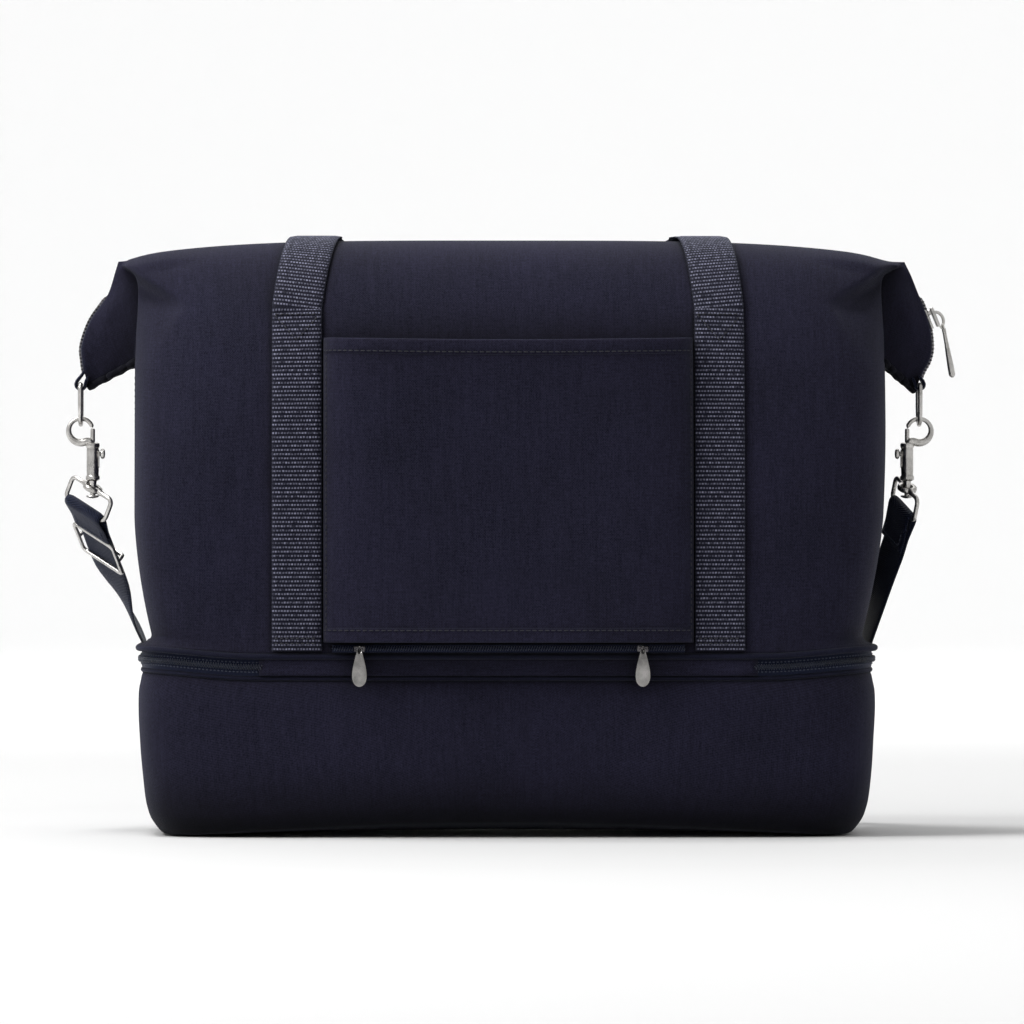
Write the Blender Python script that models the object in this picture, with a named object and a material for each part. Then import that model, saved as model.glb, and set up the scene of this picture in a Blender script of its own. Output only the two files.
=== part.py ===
"""Weekender tote bag with a zipped base compartment, carry handles, a trolley sleeve and a clip-on strap.

Metres, +Z up. X runs along the width. The trolley sleeve is on the rear face, towards -Y.
The origin is the middle of the flat underside.
"""

from math import acos, asin, cos, pi, sin

import bmesh
import bpy
from mathutils import Matrix, Vector

# Driving dimensions of the body
BASE_HALF_WIDTH = 0.220
HALF_DEPTH = 0.100
CORNER_POWER = 6.0  # squareness of the base outline
FABRIC = 0.0020
GAP = 0.0003  # between pieces that touch

# Heights of the base compartment and of its zip band
BASE_TOP = 0.0920
PIPING_HEIGHT = 0.0034
TAPE_HEIGHT = 0.0042
PIPING_OUT = 0.0014  # how far the piping and the zip tape stand out from the outline, and reach in
PIPING_IN = -0.0020
TAPE_OUT = 0.0004
TAPE_IN = -0.0012
LOWER_TAPE_Z = BASE_TOP + PIPING_HEIGHT + 2 * GAP
UPPER_TAPE_Z = LOWER_TAPE_Z + TAPE_HEIGHT + GAP
UPPER_PIPING_Z = UPPER_TAPE_Z + TAPE_HEIGHT + GAP
BODY_Z = UPPER_PIPING_Z + PIPING_HEIGHT + GAP
HINGE_STRIP_HALF = 0.147  # the plain rear strip that the compartment opens about
STRIP_GAP = 0.0010  # between the strip's ends and the zip
STRIP_STEPS = 12
FOLD_Y = -0.104  # the hinge line of the base compartment
FOLD_Z = 0.092

# The flat underside and its board, as half width and half depth, and the wall at rising heights
BOTTOM = (0.2060, 0.0880)
BOTTOM_THICK = 0.0030
BOARD = (0.2000, 0.0820)
BOARD_THICK = 0.0020
WALL_LEVELS = (
    (BOTTOM_THICK + GAP, 0.2085, 0.0905),
    (0.0100, 0.2130, 0.0945),
    (0.0200, 0.2160, 0.0970),
    (0.0400, 0.2180, 0.0985),
    (0.0650, 0.2195, 0.0995),
    (BASE_TOP, BASE_HALF_WIDTH, HALF_DEPTH),
)

# The divider between the two compartments, and the board that lies on it
DIVIDER = (0.2176, 0.0976)
DIVIDER_LIFT = 0.0008
DIVIDER_BOARD = (0.2040, 0.0900)
DIVIDER_BOARD_THICK = 0.0018

# The upper body: a boxy form that closes over to the zip along its top
BODY_TOP = 0.3570
TOP_DROP = 0.0090  # how much lower the top is at its ends
WAIST_HALF_WIDTH = 0.2125
BODY_HALF_WIDTH = 0.2225
SHOULDER_POWER = 3.6
TOP_CORNER_POWER = 3.0
PANEL_RINGS = 12
PANEL_STEPS = 24
OUTLINE_STEPS = 48
CREST_HALF = 0.0065  # where each panel stops, beside the top zip
SEAM_GAP = 0.0004  # and beside the side seams
TOP_ZIP_HALF = 0.2150
TOP_TAPE_HALF = 0.0055
TOP_TEETH_HALF = 0.0022

# Webbing
WEB = 0.030
WEB_THICK = 0.0018
HANDLE_X = 0.125
STITCH_Z = 0.308
WEB_LIFT = 0.0016  # from the panel to the middle of the sewn webbing

# Trolley sleeve
SLEEVE_HALF = 0.1092
SLEEVE_LOW = 0.1165
SLEEVE_HIGH = 0.299
SLEEVE_OUT = 0.1155  # the depth at which the sleeve stands off behind the body
SLEEVE_THICK = 0.0016
SLEEVE_CLEAR = 0.0012  # from the body to the sleeve's sewn sides
SLEEVE_TAPE_HALF = 0.104
SLEEVE_TAPE_HEIGHT = 0.0045

# The hardware at the ends of the top zip, at each side of the body
SIDES = {"left": (-1, -0.2555), "right": (1, 0.2490)}
TAB_RADIUS = 0.0036
TAB_BORE = 0.0020
TAB_HALF = 0.0085
RING_BAR_Z = 0.2685
RING_ARC = 0.011
RING_WIRE = 0.0014
RING_ARC_Z = 0.2556
RING_CORNER = 0.003
HOOK_ARC = 0.00725
HOOK_WIRE = 0.0015
HOOK_Z = 0.2409
BARREL = 0.0038
BARREL_LOW = 0.2106
BARREL_HIGH = 0.2338
BARREL_IN = 0.0072  # the barrel is this much nearer the bag than the ring
BARREL_BORE = 0.0018
BARREL_FLOOR = 0.0030
BOLT_RADIUS = 0.0014
BOLT_LOW = 0.2205
BOLT_TRAVEL = 0.006
KNOB_Z = 0.2270
KNOB_RADIUS = 0.0027
POST_RADIUS = 0.0016
HUB_Z = 0.2064
LOOP_DROP = 0.0142
LOOP_HALF = 0.0170
LOOP_WIRE = 0.0014
LOOP_CORNER = 0.003
EYE_RADIUS = 0.0060
EYE_BORE = 0.0034


def clear_scene():
    for item in list(bpy.data.objects):
        bpy.data.objects.remove(item, do_unlink=True)


def material(name, color, roughness, metallic=0.0):
    made = bpy.data.materials.new(name)
    made.use_nodes = True
    shader = made.node_tree.nodes["Principled BSDF"]
    shader.inputs["Base Color"].default_value = (*color, 1.0)
    shader.inputs["Roughness"].default_value = roughness
    shader.inputs["Metallic"].default_value = metallic
    return made


def finish(name, mesh, look, smooth=False):
    """An object in the scene from a mesh, with its material."""
    if smooth:
        mesh.shade_smooth()
        mesh.set_sharp_from_angle(angle=pi / 4)
    mesh.materials.append(look)
    made = bpy.data.objects.new(name, mesh)
    bpy.context.scene.collection.objects.link(made)
    return made


def mesh_of(name, points, faces):
    mesh = bpy.data.meshes.new(name)
    mesh.from_pydata([tuple(p) for p in points], [], faces)
    work = bmesh.new()
    work.from_mesh(mesh)
    bmesh.ops.recalc_face_normals(work, faces=work.faces)
    work.to_mesh(mesh)
    work.free()
    return mesh


def loft(name, rings, look, looped=False, smooth=False):
    """A closed solid through rings of the same number of points; looped joins the last ring to the first."""
    count = len(rings[0])
    points = [p for ring in rings for p in ring]
    faces = []
    spans = len(rings) if looped else len(rings) - 1
    for i in range(spans):
        here = i * count
        there = ((i + 1) % len(rings)) * count
        for j in range(count):
            k = (j + 1) % count
            faces.append((here + j, here + k, there + k, there + j))
    if not looped:
        faces.append(tuple(range(count)))
        faces.append(tuple(range(len(points) - count, len(points))))
    return finish(name, mesh_of(name, points, faces), look, smooth)


def ribbon(name, stations, look, width=WEB, thick=WEB_THICK):
    """Flat webbing along stations, each a middle point and the direction of the webbing's width."""
    rings = []
    middles = [Vector(middle) for middle, _ in stations]
    for i, (_, side) in enumerate(stations):
        before = middles[max(i - 1, 0)]
        after = middles[min(i + 1, len(middles) - 1)]
        along = (after - before).normalized()
        across = Vector(side)
        across = (across - across.dot(along) * along).normalized()
        out = along.cross(across)
        half = across * width / 2
        low = middles[i] - out * thick / 2
        high = middles[i] + out * thick / 2
        rings.append([low - half, low + half, high + half, high - half])
    return loft(name, rings, look)


def tube(name, points, radius, look, closed=False, sides=2):
    """A round bar along points; sides is the curve's bevel resolution."""
    curve = bpy.data.curves.new(name, "CURVE")
    curve.dimensions = "3D"
    curve.bevel_depth = radius
    curve.bevel_resolution = sides
    curve.use_fill_caps = True
    line = curve.splines.new("POLY")
    line.points.add(len(points) - 1)
    for point, place in zip(line.points, points):
        point.co = (*place, 1.0)
    line.use_cyclic_u = closed
    curve.materials.append(look)
    made = bpy.data.objects.new(name, curve)
    bpy.context.scene.collection.objects.link(made)
    return made


def solid_tube(name, points, radius, look, closed=False, sides=2):
    """A round bar as a mesh, so that it can be cut and joined."""
    source = tube(name + "_path", points, radius, look, closed, sides)
    mesh = bpy.data.meshes.new_from_object(source)
    bpy.data.objects.remove(source, do_unlink=True)
    work = bmesh.new()
    work.from_mesh(mesh)
    bmesh.ops.remove_doubles(work, verts=work.verts, dist=0.00002)
    bmesh.ops.recalc_face_normals(work, faces=work.faces)
    work.to_mesh(mesh)
    work.free()
    mesh.materials.clear()
    mesh.name = name
    return finish(name, mesh, look, smooth=True)


def cylinder(name, low, high, radius, look, segments=20):
    """A round bar between two points, with flat ends."""
    low = Vector(low)
    high = Vector(high)
    turn = (high - low).to_track_quat("Z", "Y").to_matrix().to_4x4()
    work = bmesh.new()
    bmesh.ops.create_cone(
        work,
        cap_ends=True,
        segments=segments,
        radius1=radius,
        radius2=radius,
        depth=(high - low).length,
        matrix=Matrix.Translation((low + high) / 2) @ turn,
    )
    mesh = bpy.data.meshes.new(name)
    work.to_mesh(mesh)
    work.free()
    return finish(name, mesh, look, smooth=True)


def block(name, middle, size, look, bevel=0.0, turn=None):
    """A box with softened edges, turned by a matrix about its middle."""
    work = bmesh.new()
    bmesh.ops.create_cube(work, size=1.0)
    bmesh.ops.scale(work, vec=size, verts=work.verts)
    if bevel:
        bmesh.ops.bevel(work, geom=work.edges[:], offset=bevel, segments=1, affect="EDGES")
    place = Matrix.Translation(middle)
    if turn is not None:
        place = place @ turn.to_4x4()
    bmesh.ops.transform(work, matrix=place, verts=work.verts)
    mesh = bpy.data.meshes.new(name)
    work.to_mesh(mesh)
    work.free()
    return finish(name, mesh, look)


def cut(target, tool):
    tool.hide_render = True
    tool.display_type = "WIRE"
    change = target.modifiers.new("cut_" + tool.name, "BOOLEAN")
    change.operation = "DIFFERENCE"
    change.object = tool


def join(target, *others):
    for other in others:
        other.hide_render = True
        other.display_type = "WIRE"
        change = target.modifiers.new("join_" + other.name, "BOOLEAN")
        change.operation = "UNION"
        change.object = other


# The outline of the base and the shape of the body


def power(value, exponent):
    """A signed power, for superellipses."""
    return abs(value) ** exponent * (1 if value >= 0 else -1)


def outline_point(angle, half_width, half_depth, squareness):
    return (
        half_width * power(cos(angle), 2 / squareness),
        half_depth * power(sin(angle), 2 / squareness),
    )


def base_outline(offset, steps=OUTLINE_STEPS, start=0.0, sweep=2 * pi):
    """Points around the base outline, moved outward by offset."""
    closed = sweep >= 2 * pi
    count = steps if closed else steps + 1
    return [
        outline_point(
            start + sweep * i / steps,
            BASE_HALF_WIDTH + offset,
            HALF_DEPTH + offset,
            CORNER_POWER,
        )
        for i in range(count)
    ]


def top_at(x):
    """The height of the body's top edge."""
    return BODY_TOP - TOP_DROP * (abs(x) / BODY_HALF_WIDTH) ** 4


def body_half_width(height):
    """height runs from 0 at the zip band to 1 at the top."""
    slack = max(0.0, 1 - height / 0.35)
    return BODY_HALF_WIDTH - (BODY_HALF_WIDTH - WAIST_HALF_WIDTH) * slack**2


def body_power(height):
    return CORNER_POWER - (CORNER_POWER - TOP_CORNER_POWER) * height**2


def body_point(around, rise):
    """A point of the body's outer surface; rise goes from 0 at the band to pi / 2 at the crest."""
    height = power(sin(rise), 2 / SHOULDER_POWER)
    depth = HALF_DEPTH * power(cos(rise), 2 / SHOULDER_POWER)
    x, y = outline_point(around, body_half_width(height), depth, body_power(height))
    return Vector((x, y, BODY_Z + (top_at(x) - BODY_Z) * height))


def face_point(x, rise, side, lift=0.0):
    """A point of the rear (side -1) or front (side 1) face above x, lifted off the face."""

    def bare(rise):
        height = power(sin(rise), 2 / SHOULDER_POWER)
        depth = HALF_DEPTH * power(cos(rise), 2 / SHOULDER_POWER)
        n = body_power(height)
        y = depth * (1 - (abs(x) / body_half_width(height)) ** n) ** (1 / n)
        return Vector((x, side * y, BODY_Z + (top_at(x) - BODY_Z) * height))

    small = 0.002
    along = bare(min(rise + small, pi / 2)) - bare(max(rise - small, 0.0))
    out = Vector((0.0, side * along.z, -side * along.y)).normalized()
    return bare(rise) + out * lift


def across_face(x, rise, side):
    """The way of webbing's width where it lies on a face."""
    return face_point(x + WEB / 2, rise, side) - face_point(x - WEB / 2, rise, side)


def rise_at(z, x=0.0):
    """The rise at which a face reaches a height above the ground."""
    height = (z - BODY_Z) / (top_at(x) - BODY_Z)
    return asin(height ** (SHOULDER_POWER / 2))


def ring_rises():
    """The rises of the panels' rings, closer together over the shoulder."""
    last = acos((CREST_HALF / HALF_DEPTH) ** (SHOULDER_POWER / 2))
    return [last * (i / PANEL_RINGS) ** 0.8 for i in range(PANEL_RINGS + 1)]


def rises_between(low, high):
    """The panels' own rings between two rises, with the two ends."""
    inside = [rise for rise in ring_rises() if low + 0.01 < rise < high - 0.01]
    return [low, *inside, high]


def outline_ring(half_width, half_depth, z):
    """One level ring of the base's shape."""
    angles = [2 * pi * i / OUTLINE_STEPS for i in range(OUTLINE_STEPS)]
    return [(*outline_point(angle, half_width, half_depth, CORNER_POWER), z) for angle in angles]


def outline_solid(name, halves, low, thick, look):
    """A flat panel of the base's shape; halves are its half width and half depth."""
    return loft(name, [outline_ring(*halves, low), outline_ring(*halves, low + thick)], look)


def sheet_of(name, rows, look, looped=False):
    """An open sheet through rows of the same number of points; looped joins each row's ends."""
    count = len(rows[0])
    steps = count if looped else count - 1
    faces = []
    for j in range(len(rows) - 1):
        for i in range(steps):
            k = (i + 1) % count
            faces.append((j * count + i, j * count + k, (j + 1) * count + k, (j + 1) * count + i))
    mesh = bpy.data.meshes.new(name)
    mesh.from_pydata([tuple(p) for row in rows for p in row], [], faces)
    return finish(name, mesh, look, smooth=True)


def band(name, low, height, outer, inner, look, rear_half=None):
    """A band around the base outline. With rear_half it leaves out the middle of the rear."""
    high = low + height
    if rear_half is None:
        outside = base_outline(outer)
        inside = base_outline(inner)
    else:
        gap_angle = edge_angle(rear_half)
        start = -pi / 2 + gap_angle
        sweep = 2 * pi - 2 * gap_angle
        outside = base_outline(outer, OUTLINE_STEPS, start, sweep)
        inside = base_outline(inner, OUTLINE_STEPS, start, sweep)
    rings = [
        [(*o, low), (*o, high), (*i, high), (*i, low)]
        for o, i in zip(outside, inside)
    ]
    return loft(name, rings, look, looped=rear_half is None)


def edge_angle(x):
    """How far from the middle of the rear the outline's angle is at x."""
    return pi / 2 - acos((x / BASE_HALF_WIDTH) ** (CORNER_POWER / 2))


def build_base(fabric, board, tape):
    outline_solid("base_bottom_panel", BOTTOM, 0.0, BOTTOM_THICK, fabric)
    outline_solid("base_board", BOARD, BOTTOM_THICK + GAP, BOARD_THICK, board)
    rows = [outline_ring(half_width, half_depth, z) for z, half_width, half_depth in WALL_LEVELS]
    thicken(sheet_of("base_wall", rows, fabric, looped=True))
    band("lower_piping", BASE_TOP + GAP, PIPING_HEIGHT, PIPING_OUT, PIPING_IN, fabric)
    zip_start = HINGE_STRIP_HALF + STRIP_GAP
    band("lower_zip_tape", LOWER_TAPE_Z, TAPE_HEIGHT, TAPE_OUT, TAPE_IN, tape, zip_start)
    strip = []
    high = UPPER_PIPING_Z - GAP
    for i in range(STRIP_STEPS + 1):
        x = HINGE_STRIP_HALF * (2 * i / STRIP_STEPS - 1)
        edge = -HALF_DEPTH * (1 - (abs(x) / BASE_HALF_WIDTH) ** CORNER_POWER) ** (1 / CORNER_POWER)
        outside = edge - TAPE_OUT
        inside = edge - TAPE_IN
        ends = ((outside, LOWER_TAPE_Z), (outside, high), (inside, high), (inside, LOWER_TAPE_Z))
        strip.append([(x, y, z) for y, z in ends])
    loft("zip_hinge_strip", strip, fabric)


def thicken(sheet, thick=FABRIC):
    change = sheet.modifiers.new("thickness", "SOLIDIFY")
    change.thickness = thick
    change.offset = -1
    change.use_even_offset = True


def build_panels(fabric, board, tape):
    zip_start = HINGE_STRIP_HALF + STRIP_GAP
    band("upper_zip_tape", UPPER_TAPE_Z, TAPE_HEIGHT, TAPE_OUT, TAPE_IN, tape, zip_start)
    band("upper_piping", UPPER_PIPING_Z, PIPING_HEIGHT, PIPING_OUT, PIPING_IN, fabric)
    outline_solid("divider_panel", DIVIDER, UPPER_PIPING_Z + DIVIDER_LIFT, FABRIC, fabric)
    outline_solid("divider_board", DIVIDER_BOARD, BODY_Z, DIVIDER_BOARD_THICK, board)
    rises = ring_rises()
    for name, start, side in (("rear_panel", -pi, -1), ("front_panel", 0.0, 1)):
        rows = []
        for rise in rises:
            seam = SEAM_GAP + (CREST_HALF - SEAM_GAP) * (rise / rises[-1]) ** 12
            row = [body_point(start + pi * i / PANEL_STEPS, rise) for i in range(PANEL_STEPS + 1)]
            for point in row:
                point.y = side * max(abs(point.y), seam)
            rows.append(row)
        thicken(sheet_of(name, rows, fabric))


def build_main_zip(tape):
    """The closed zip along the top: its two tapes, with the row of teeth raised in the middle."""
    outline = (
        (-TOP_TAPE_HALF, -0.0022),
        (TOP_TAPE_HALF, -0.0022),
        (TOP_TAPE_HALF, -0.0004),
        (TOP_TEETH_HALF, -0.0004),
        (TOP_TEETH_HALF, 0.0008),
        (-TOP_TEETH_HALF, 0.0008),
        (-TOP_TEETH_HALF, -0.0004),
        (-TOP_TAPE_HALF, -0.0004),
    )
    rings = []
    for i in range(PANEL_STEPS + 1):
        x = TOP_ZIP_HALF * (2 * i / PANEL_STEPS - 1)
        rings.append([(x, y, top_at(x) + rise) for y, rise in outline])
    loft("main_zip", rings, tape)


# The ears, at each end of the top: the outer edge from the top corner down to the tab, as the
# distance from the middle of the bag, the height and the half thickness
EAR_EDGE = {
    "left": (
        (0.2365, 0.3440, 0.0040),
        (0.2420, 0.3230, 0.0060),
        (0.2515, 0.3070, 0.0075),
        (0.2565, 0.2920, 0.0080),
        (0.2565, 0.2830, 0.0080),
        (0.2545, 0.2765, 0.0075),
    ),
    "right": (
        (0.2380, 0.3440, 0.0040),
        (0.2460, 0.3230, 0.0060),
        (0.2525, 0.3070, 0.0075),
        (0.2560, 0.2920, 0.0080),
        (0.2545, 0.2830, 0.0080),
        (0.2500, 0.2765, 0.0075),
    ),
}
# and its inner border on the body, from the tab's height back up to the top
EAR_BORDER = (
    (0.2240, 0.2830, 0.0160),
    (0.2240, 0.3100, 0.0180),
    (0.2240, 0.3380, 0.0110),
    (0.2240, 0.3480, 0.0050),
)
EAR_MIDDLE = (0.2390, 0.3050, 0.0150)
ZIP_END_WIDTH = 0.0085
ZIP_END_LIFT = 0.0016


def build_ear(side, fabric, tape):
    sign, middle = SIDES[side]
    border = [(sign * x, z, half) for x, z, half in EAR_EDGE[side] + EAR_BORDER]
    points = []
    for hand in (-1, 1):
        points += [(x, hand * half, z) for x, z, half in border]
        points.append((sign * EAR_MIDDLE[0], hand * EAR_MIDDLE[2], EAR_MIDDLE[1]))
    count = len(border)
    faces = []
    for i in range(count):
        j = (i + 1) % count
        faces.append((i, j, count))
        faces.append((count + 1 + i, count + 1 + j, 2 * count + 1))
        faces.append((i, j, count + 1 + j, count + 1 + i))
    finish(f"{side}_ear", mesh_of(f"{side}_ear", points, faces), fabric)
    edge = [Vector((sign * x, 0.0, z)) for x, z, _ in EAR_EDGE[side][:-1]]
    stations = []
    for i, place in enumerate(edge):
        along = edge[min(i + 1, len(edge) - 1)] - edge[max(i - 1, 0)]
        out = Vector((-along.z, 0.0, along.x)).normalized() * sign
        stations.append((place + out * ZIP_END_LIFT, (0, 1, 0)))
    ribbon(f"{side}_zip_end", stations, tape, ZIP_END_WIDTH)
    build_tab(side, middle, fabric)


def build_tab(side, middle, fabric):
    """The webbing tab that holds the D-ring: a sleeve round the ring's bar, under the tip of the ear."""
    near = (middle, -TAB_HALF, RING_BAR_Z)
    far = (middle, TAB_HALF, RING_BAR_Z)
    tab = cylinder(f"{side}_ring_tab", near, far, TAB_RADIUS, fabric, 16)
    flap_middle = (middle, 0, RING_BAR_Z + 0.0042)
    join(tab, block(f"{side}_tab_flap", flap_middle, (0.0050, 2 * TAB_HALF, 0.0060), fabric))
    past = Vector((0.0, 0.0035, 0.0))
    cut(tab, cylinder(f"{side}_tab_bore", Vector(near) - past, Vector(far) + past, TAB_BORE, fabric, 16))


def build_ring(side, metal):
    """The D-ring: a straight bar in the tab and a half circle below it, in the YZ plane."""
    _, middle = SIDES[side]
    shoulder = []
    for i in range(4):
        angle = pi / 2 * i / 3
        y = RING_ARC - RING_CORNER + RING_CORNER * cos(angle)
        shoulder.append((middle, y, RING_BAR_Z - RING_CORNER + RING_CORNER * sin(angle)))
    other = [(x, -y, z) for x, y, z in reversed(shoulder)]
    arc = []
    for i in range(13):
        angle = pi * i / 12
        arc.append((middle, -RING_ARC * cos(angle), RING_ARC_Z - RING_ARC * sin(angle)))
    tube(f"{side}_d_ring", shoulder + other + arc, RING_WIRE, metal, closed=True)


RING_START = 32  # the hook's ring is open between these two angles, in degrees
RING_END = 298


def build_hook(side, metal):
    """A bolt snap: the open ring and its barrel are one casting, and the bolt closes the ring."""
    sign, middle = SIDES[side]
    barrel_x = middle - sign * BARREL_IN
    bag = -sign

    def on_ring(degrees):
        angle = degrees * pi / 180
        return (
            middle + bag * HOOK_ARC * cos(angle),
            0.0,
            HOOK_Z + HOOK_ARC * sin(angle),
        )

    def upright(name, low, high, radius, segments=20):
        return cylinder(f"{side}_{name}", (barrel_x, 0, low), (barrel_x, 0, high), radius, metal, segments)

    arc = [on_ring(RING_START + (RING_END - RING_START) * i / 16) for i in range(17)]
    arc.append((barrel_x - bag * 0.0010, 0.0, BARREL_HIGH - 0.0030))
    hook = solid_tube(f"{side}_hook", arc, HOOK_WIRE, metal)
    barrel = upright("barrel", BARREL_LOW, BARREL_HIGH, BARREL)
    post = upright("post", HUB_Z - 0.0055, BARREL_LOW + 0.001, POST_RADIUS, 12)
    head = upright("head", HUB_Z - 0.0062, HUB_Z - 0.0043, 0.0042, 16)
    join(hook, barrel, post, head)
    cut(hook, upright("bore", BARREL_LOW + BARREL_FLOOR, BARREL_HIGH + 0.002, BARREL_BORE, 16))
    slot_middle = (barrel_x + bag * 0.003, 0, KNOB_Z - BOLT_TRAVEL / 2)
    slot_size = (0.0060, 0.0030, BOLT_TRAVEL + 0.0070)
    cut(hook, block(f"{side}_slot", slot_middle, slot_size, metal))
    bolt = upright("hook_bolt", BOLT_LOW, HOOK_Z + 0.0014, BOLT_RADIUS, 12)

    def sideways(name, near, far, radius, segments):
        ends = [(barrel_x + bag * reach, 0, KNOB_Z) for reach in (near, far)]
        return cylinder(f"{side}_{name}", *ends, radius, metal, segments)

    join(bolt, sideways("stem", 0.0, 0.0055, 0.0010, 10), sideways("knob", 0.0044, 0.0066, KNOB_RADIUS, 14))


# The shoulder strap: on each side, the way that its width runs at the loop, and the way that it leaves
STRAP_WIDTH_WAY = {"left": (0.70, -0.56, -0.44), "right": (0.33, -0.85, -0.42)}
STRAP_WAY = {"left": (0.178, 0.784, -0.595), "right": (-0.25, 0.35, -0.90)}
TAIL = 0.022  # the sewn end that is folded round the loop
WRAP = LOOP_WIRE + GAP + WEB_THICK / 2
LAYER = 0.00125
ADJUSTER_AT = 0.037
ADJUSTER_HALF = 0.0130
ADJUSTER_SIDE = 0.0172
ADJUSTER_CORNER = 0.0025
ADJUSTER_WIRE = 0.0012
ADJUSTER_LIFT = WEB_THICK / 2 + ADJUSTER_WIRE + GAP
ADJUSTER_TRAVEL = 0.012

# The middle of the webbing and the way of its width, from each loop down behind the bag to the ground
STRAP_ROUTE = {
    "left": (
        ((-0.2290, 0.0750, 0.1320), (0.27, -0.80, -0.53)),
        ((-0.2195, 0.0950, 0.1120), (0.15, -0.85, -0.50)),
        ((-0.2125, 0.1140, 0.0860), (0.10, -0.90, -0.42)),
        ((-0.2030, 0.1320, 0.0500), (0.00, -0.92, -0.38)),
        ((-0.1880, 0.1460, 0.0180), (0.00, -0.97, -0.22)),
        ((-0.1650, 0.1520, 0.0040), (0.00, -1.00, -0.05)),
        ((-0.1300, 0.1530, 0.0013), (0.00, -1.00, 0.00)),
        ((-0.0600, 0.1530, 0.0013), (0.00, -1.00, 0.00)),
    ),
    "right": (
        ((0.2275, 0.0320, 0.1480), (0.28, -0.87, -0.42)),
        ((0.2215, 0.0560, 0.1250), (0.20, -0.88, -0.43)),
        ((0.2175, 0.0830, 0.1070), (0.12, -0.85, -0.50)),
        ((0.2120, 0.1090, 0.0810), (0.08, -0.88, -0.46)),
        ((0.2030, 0.1310, 0.0480), (0.00, -0.92, -0.38)),
        ((0.1880, 0.1460, 0.0180), (0.00, -0.97, -0.22)),
        ((0.1650, 0.1520, 0.0040), (0.00, -1.00, -0.05)),
        ((0.1300, 0.1530, 0.0013), (0.00, -1.00, 0.00)),
        ((0.0600, 0.1530, 0.0013), (0.00, -1.00, 0.00)),
    ),
}


def loop_frame(side):
    """The hub of a strap loop, and its ways across, down and along the webbing that leaves it."""
    sign, middle = SIDES[side]
    hub = Vector((middle - sign * BARREL_IN, 0.0, HUB_Z))
    across = Vector(STRAP_WIDTH_WAY[side]).normalized()
    down = Vector((0, 0, -1))
    down = (down - down.dot(across) * across).normalized()
    along = Vector(STRAP_WAY[side])
    along = (along - along.dot(across) * across).normalized()
    return hub, across, down, along


def rounded_frame(middle, across, up, half_width, half_height, corner):
    """Points around a rectangle with round corners."""
    points = []
    for over, rise, start in ((1, 1, 0), (-1, 1, 90), (-1, -1, 180), (1, -1, 270)):
        centre = middle + across * over * (half_width - corner) + up * rise * (half_height - corner)
        for i in range(4):
            angle = (start + 30 * i) * pi / 180
            points.append(centre + across * corner * cos(angle) + up * corner * sin(angle))
    return points


def build_loop(side, metal):
    """The rectangular loop that holds the webbing, with the eye that turns on the hook's post."""
    hub, across, down, _ = loop_frame(side)
    middle = hub + down * LOOP_DROP / 2
    points = rounded_frame(middle, across, -down, LOOP_HALF, LOOP_DROP / 2, LOOP_CORNER)
    loop = solid_tube(f"{side}_strap_loop", points, LOOP_WIRE, metal, closed=True)
    join(loop, cylinder(f"{side}_eye", hub - down * 0.002, hub + down * 0.002, EYE_RADIUS, metal))
    cut(loop, cylinder(f"{side}_eye_bore", hub - down * 0.006, hub + down * 0.006, EYE_BORE, metal))


def fold_stations(side):
    """The webbing's folded end: from its tail, round the loop's lower bar and off along the strap."""
    hub, across, down, along = loop_frame(side)
    bar = hub + down * LOOP_DROP
    face = along.cross(across)
    stations = [
        bar + face * LAYER + along * TAIL,
        bar + face * LAYER + along * TAIL * 0.6,
        bar + face * WRAP + along * 0.002,
    ]
    stations += [
        bar + face * WRAP * cos(pi * i / 6) - along * WRAP * sin(pi * i / 6)
        for i in range(7)
    ]
    stations += [
        bar - face * WRAP + along * 0.002,
        bar - face * LAYER + along * TAIL * 0.6,
        bar - face * LAYER + along * TAIL,
    ]
    return [(place, across) for place in stations]


def smooth_route(route, steps=3):
    """Points of a smooth curve through the stations, with their widths' ways blended."""
    made = []
    for i in range(len(route) - 1):
        near = [Vector(route[min(max(k, 0), len(route) - 1)][0]) for k in range(i - 1, i + 3)]
        here, there = Vector(route[i][1]), Vector(route[i + 1][1])
        for j in range(steps):
            t = j / steps
            place = (
                near[1] * 2
                + (near[2] - near[0]) * t
                + (near[0] * 2 - near[1] * 5 + near[2] * 4 - near[3]) * t**2
                + (near[1] * 3 - near[0] - near[2] * 3 + near[3]) * t**3
            ) / 2
            made.append((place, here.lerp(there, t)))
    made.append((Vector(route[-1][0]), Vector(route[-1][1])))
    return made


def build_strap(web, metal):
    left = fold_stations("left")
    hub, across, down, along = loop_frame("left")
    face = along.cross(across)
    start = hub + down * LOOP_DROP - face * LAYER
    straight_end = ADJUSTER_AT + ADJUSTER_HALF + ADJUSTER_TRAVEL + 0.004
    left_route = [(start + along * TAIL * 1.3, across), (start + along * straight_end, across)]
    left_route += list(STRAP_ROUTE["left"])
    right = fold_stations("right")
    right_route = [right[-1], *STRAP_ROUTE["right"]]
    run = smooth_route(left_route + right_route[::-1])
    ribbon("strap_webbing", left + run + right[-2::-1], web)
    build_adjuster(start, across, face, along, metal)
    for side in SIDES:
        build_loop(side, metal)


def build_adjuster(start, across, face, along, metal):
    """The slide adjuster: two outer bars on one face of the webbing and a middle bar on the other."""
    middle = start + along * ADJUSTER_AT
    raised = middle + face * ADJUSTER_LIFT
    points = rounded_frame(raised, across, along, ADJUSTER_SIDE, ADJUSTER_HALF, ADJUSTER_CORNER)
    frame = solid_tube("strap_adjuster", points, ADJUSTER_WIRE, metal, closed=True)
    bar_points = [
        middle + across * ADJUSTER_SIDE * over + face * ADJUSTER_LIFT * lift
        for over, lift in ((-1, 1), (-1, -1), (1, -1), (1, 1))
    ]
    join(frame, solid_tube("adjuster_bar", bar_points, ADJUSTER_WIRE, metal))


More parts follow.
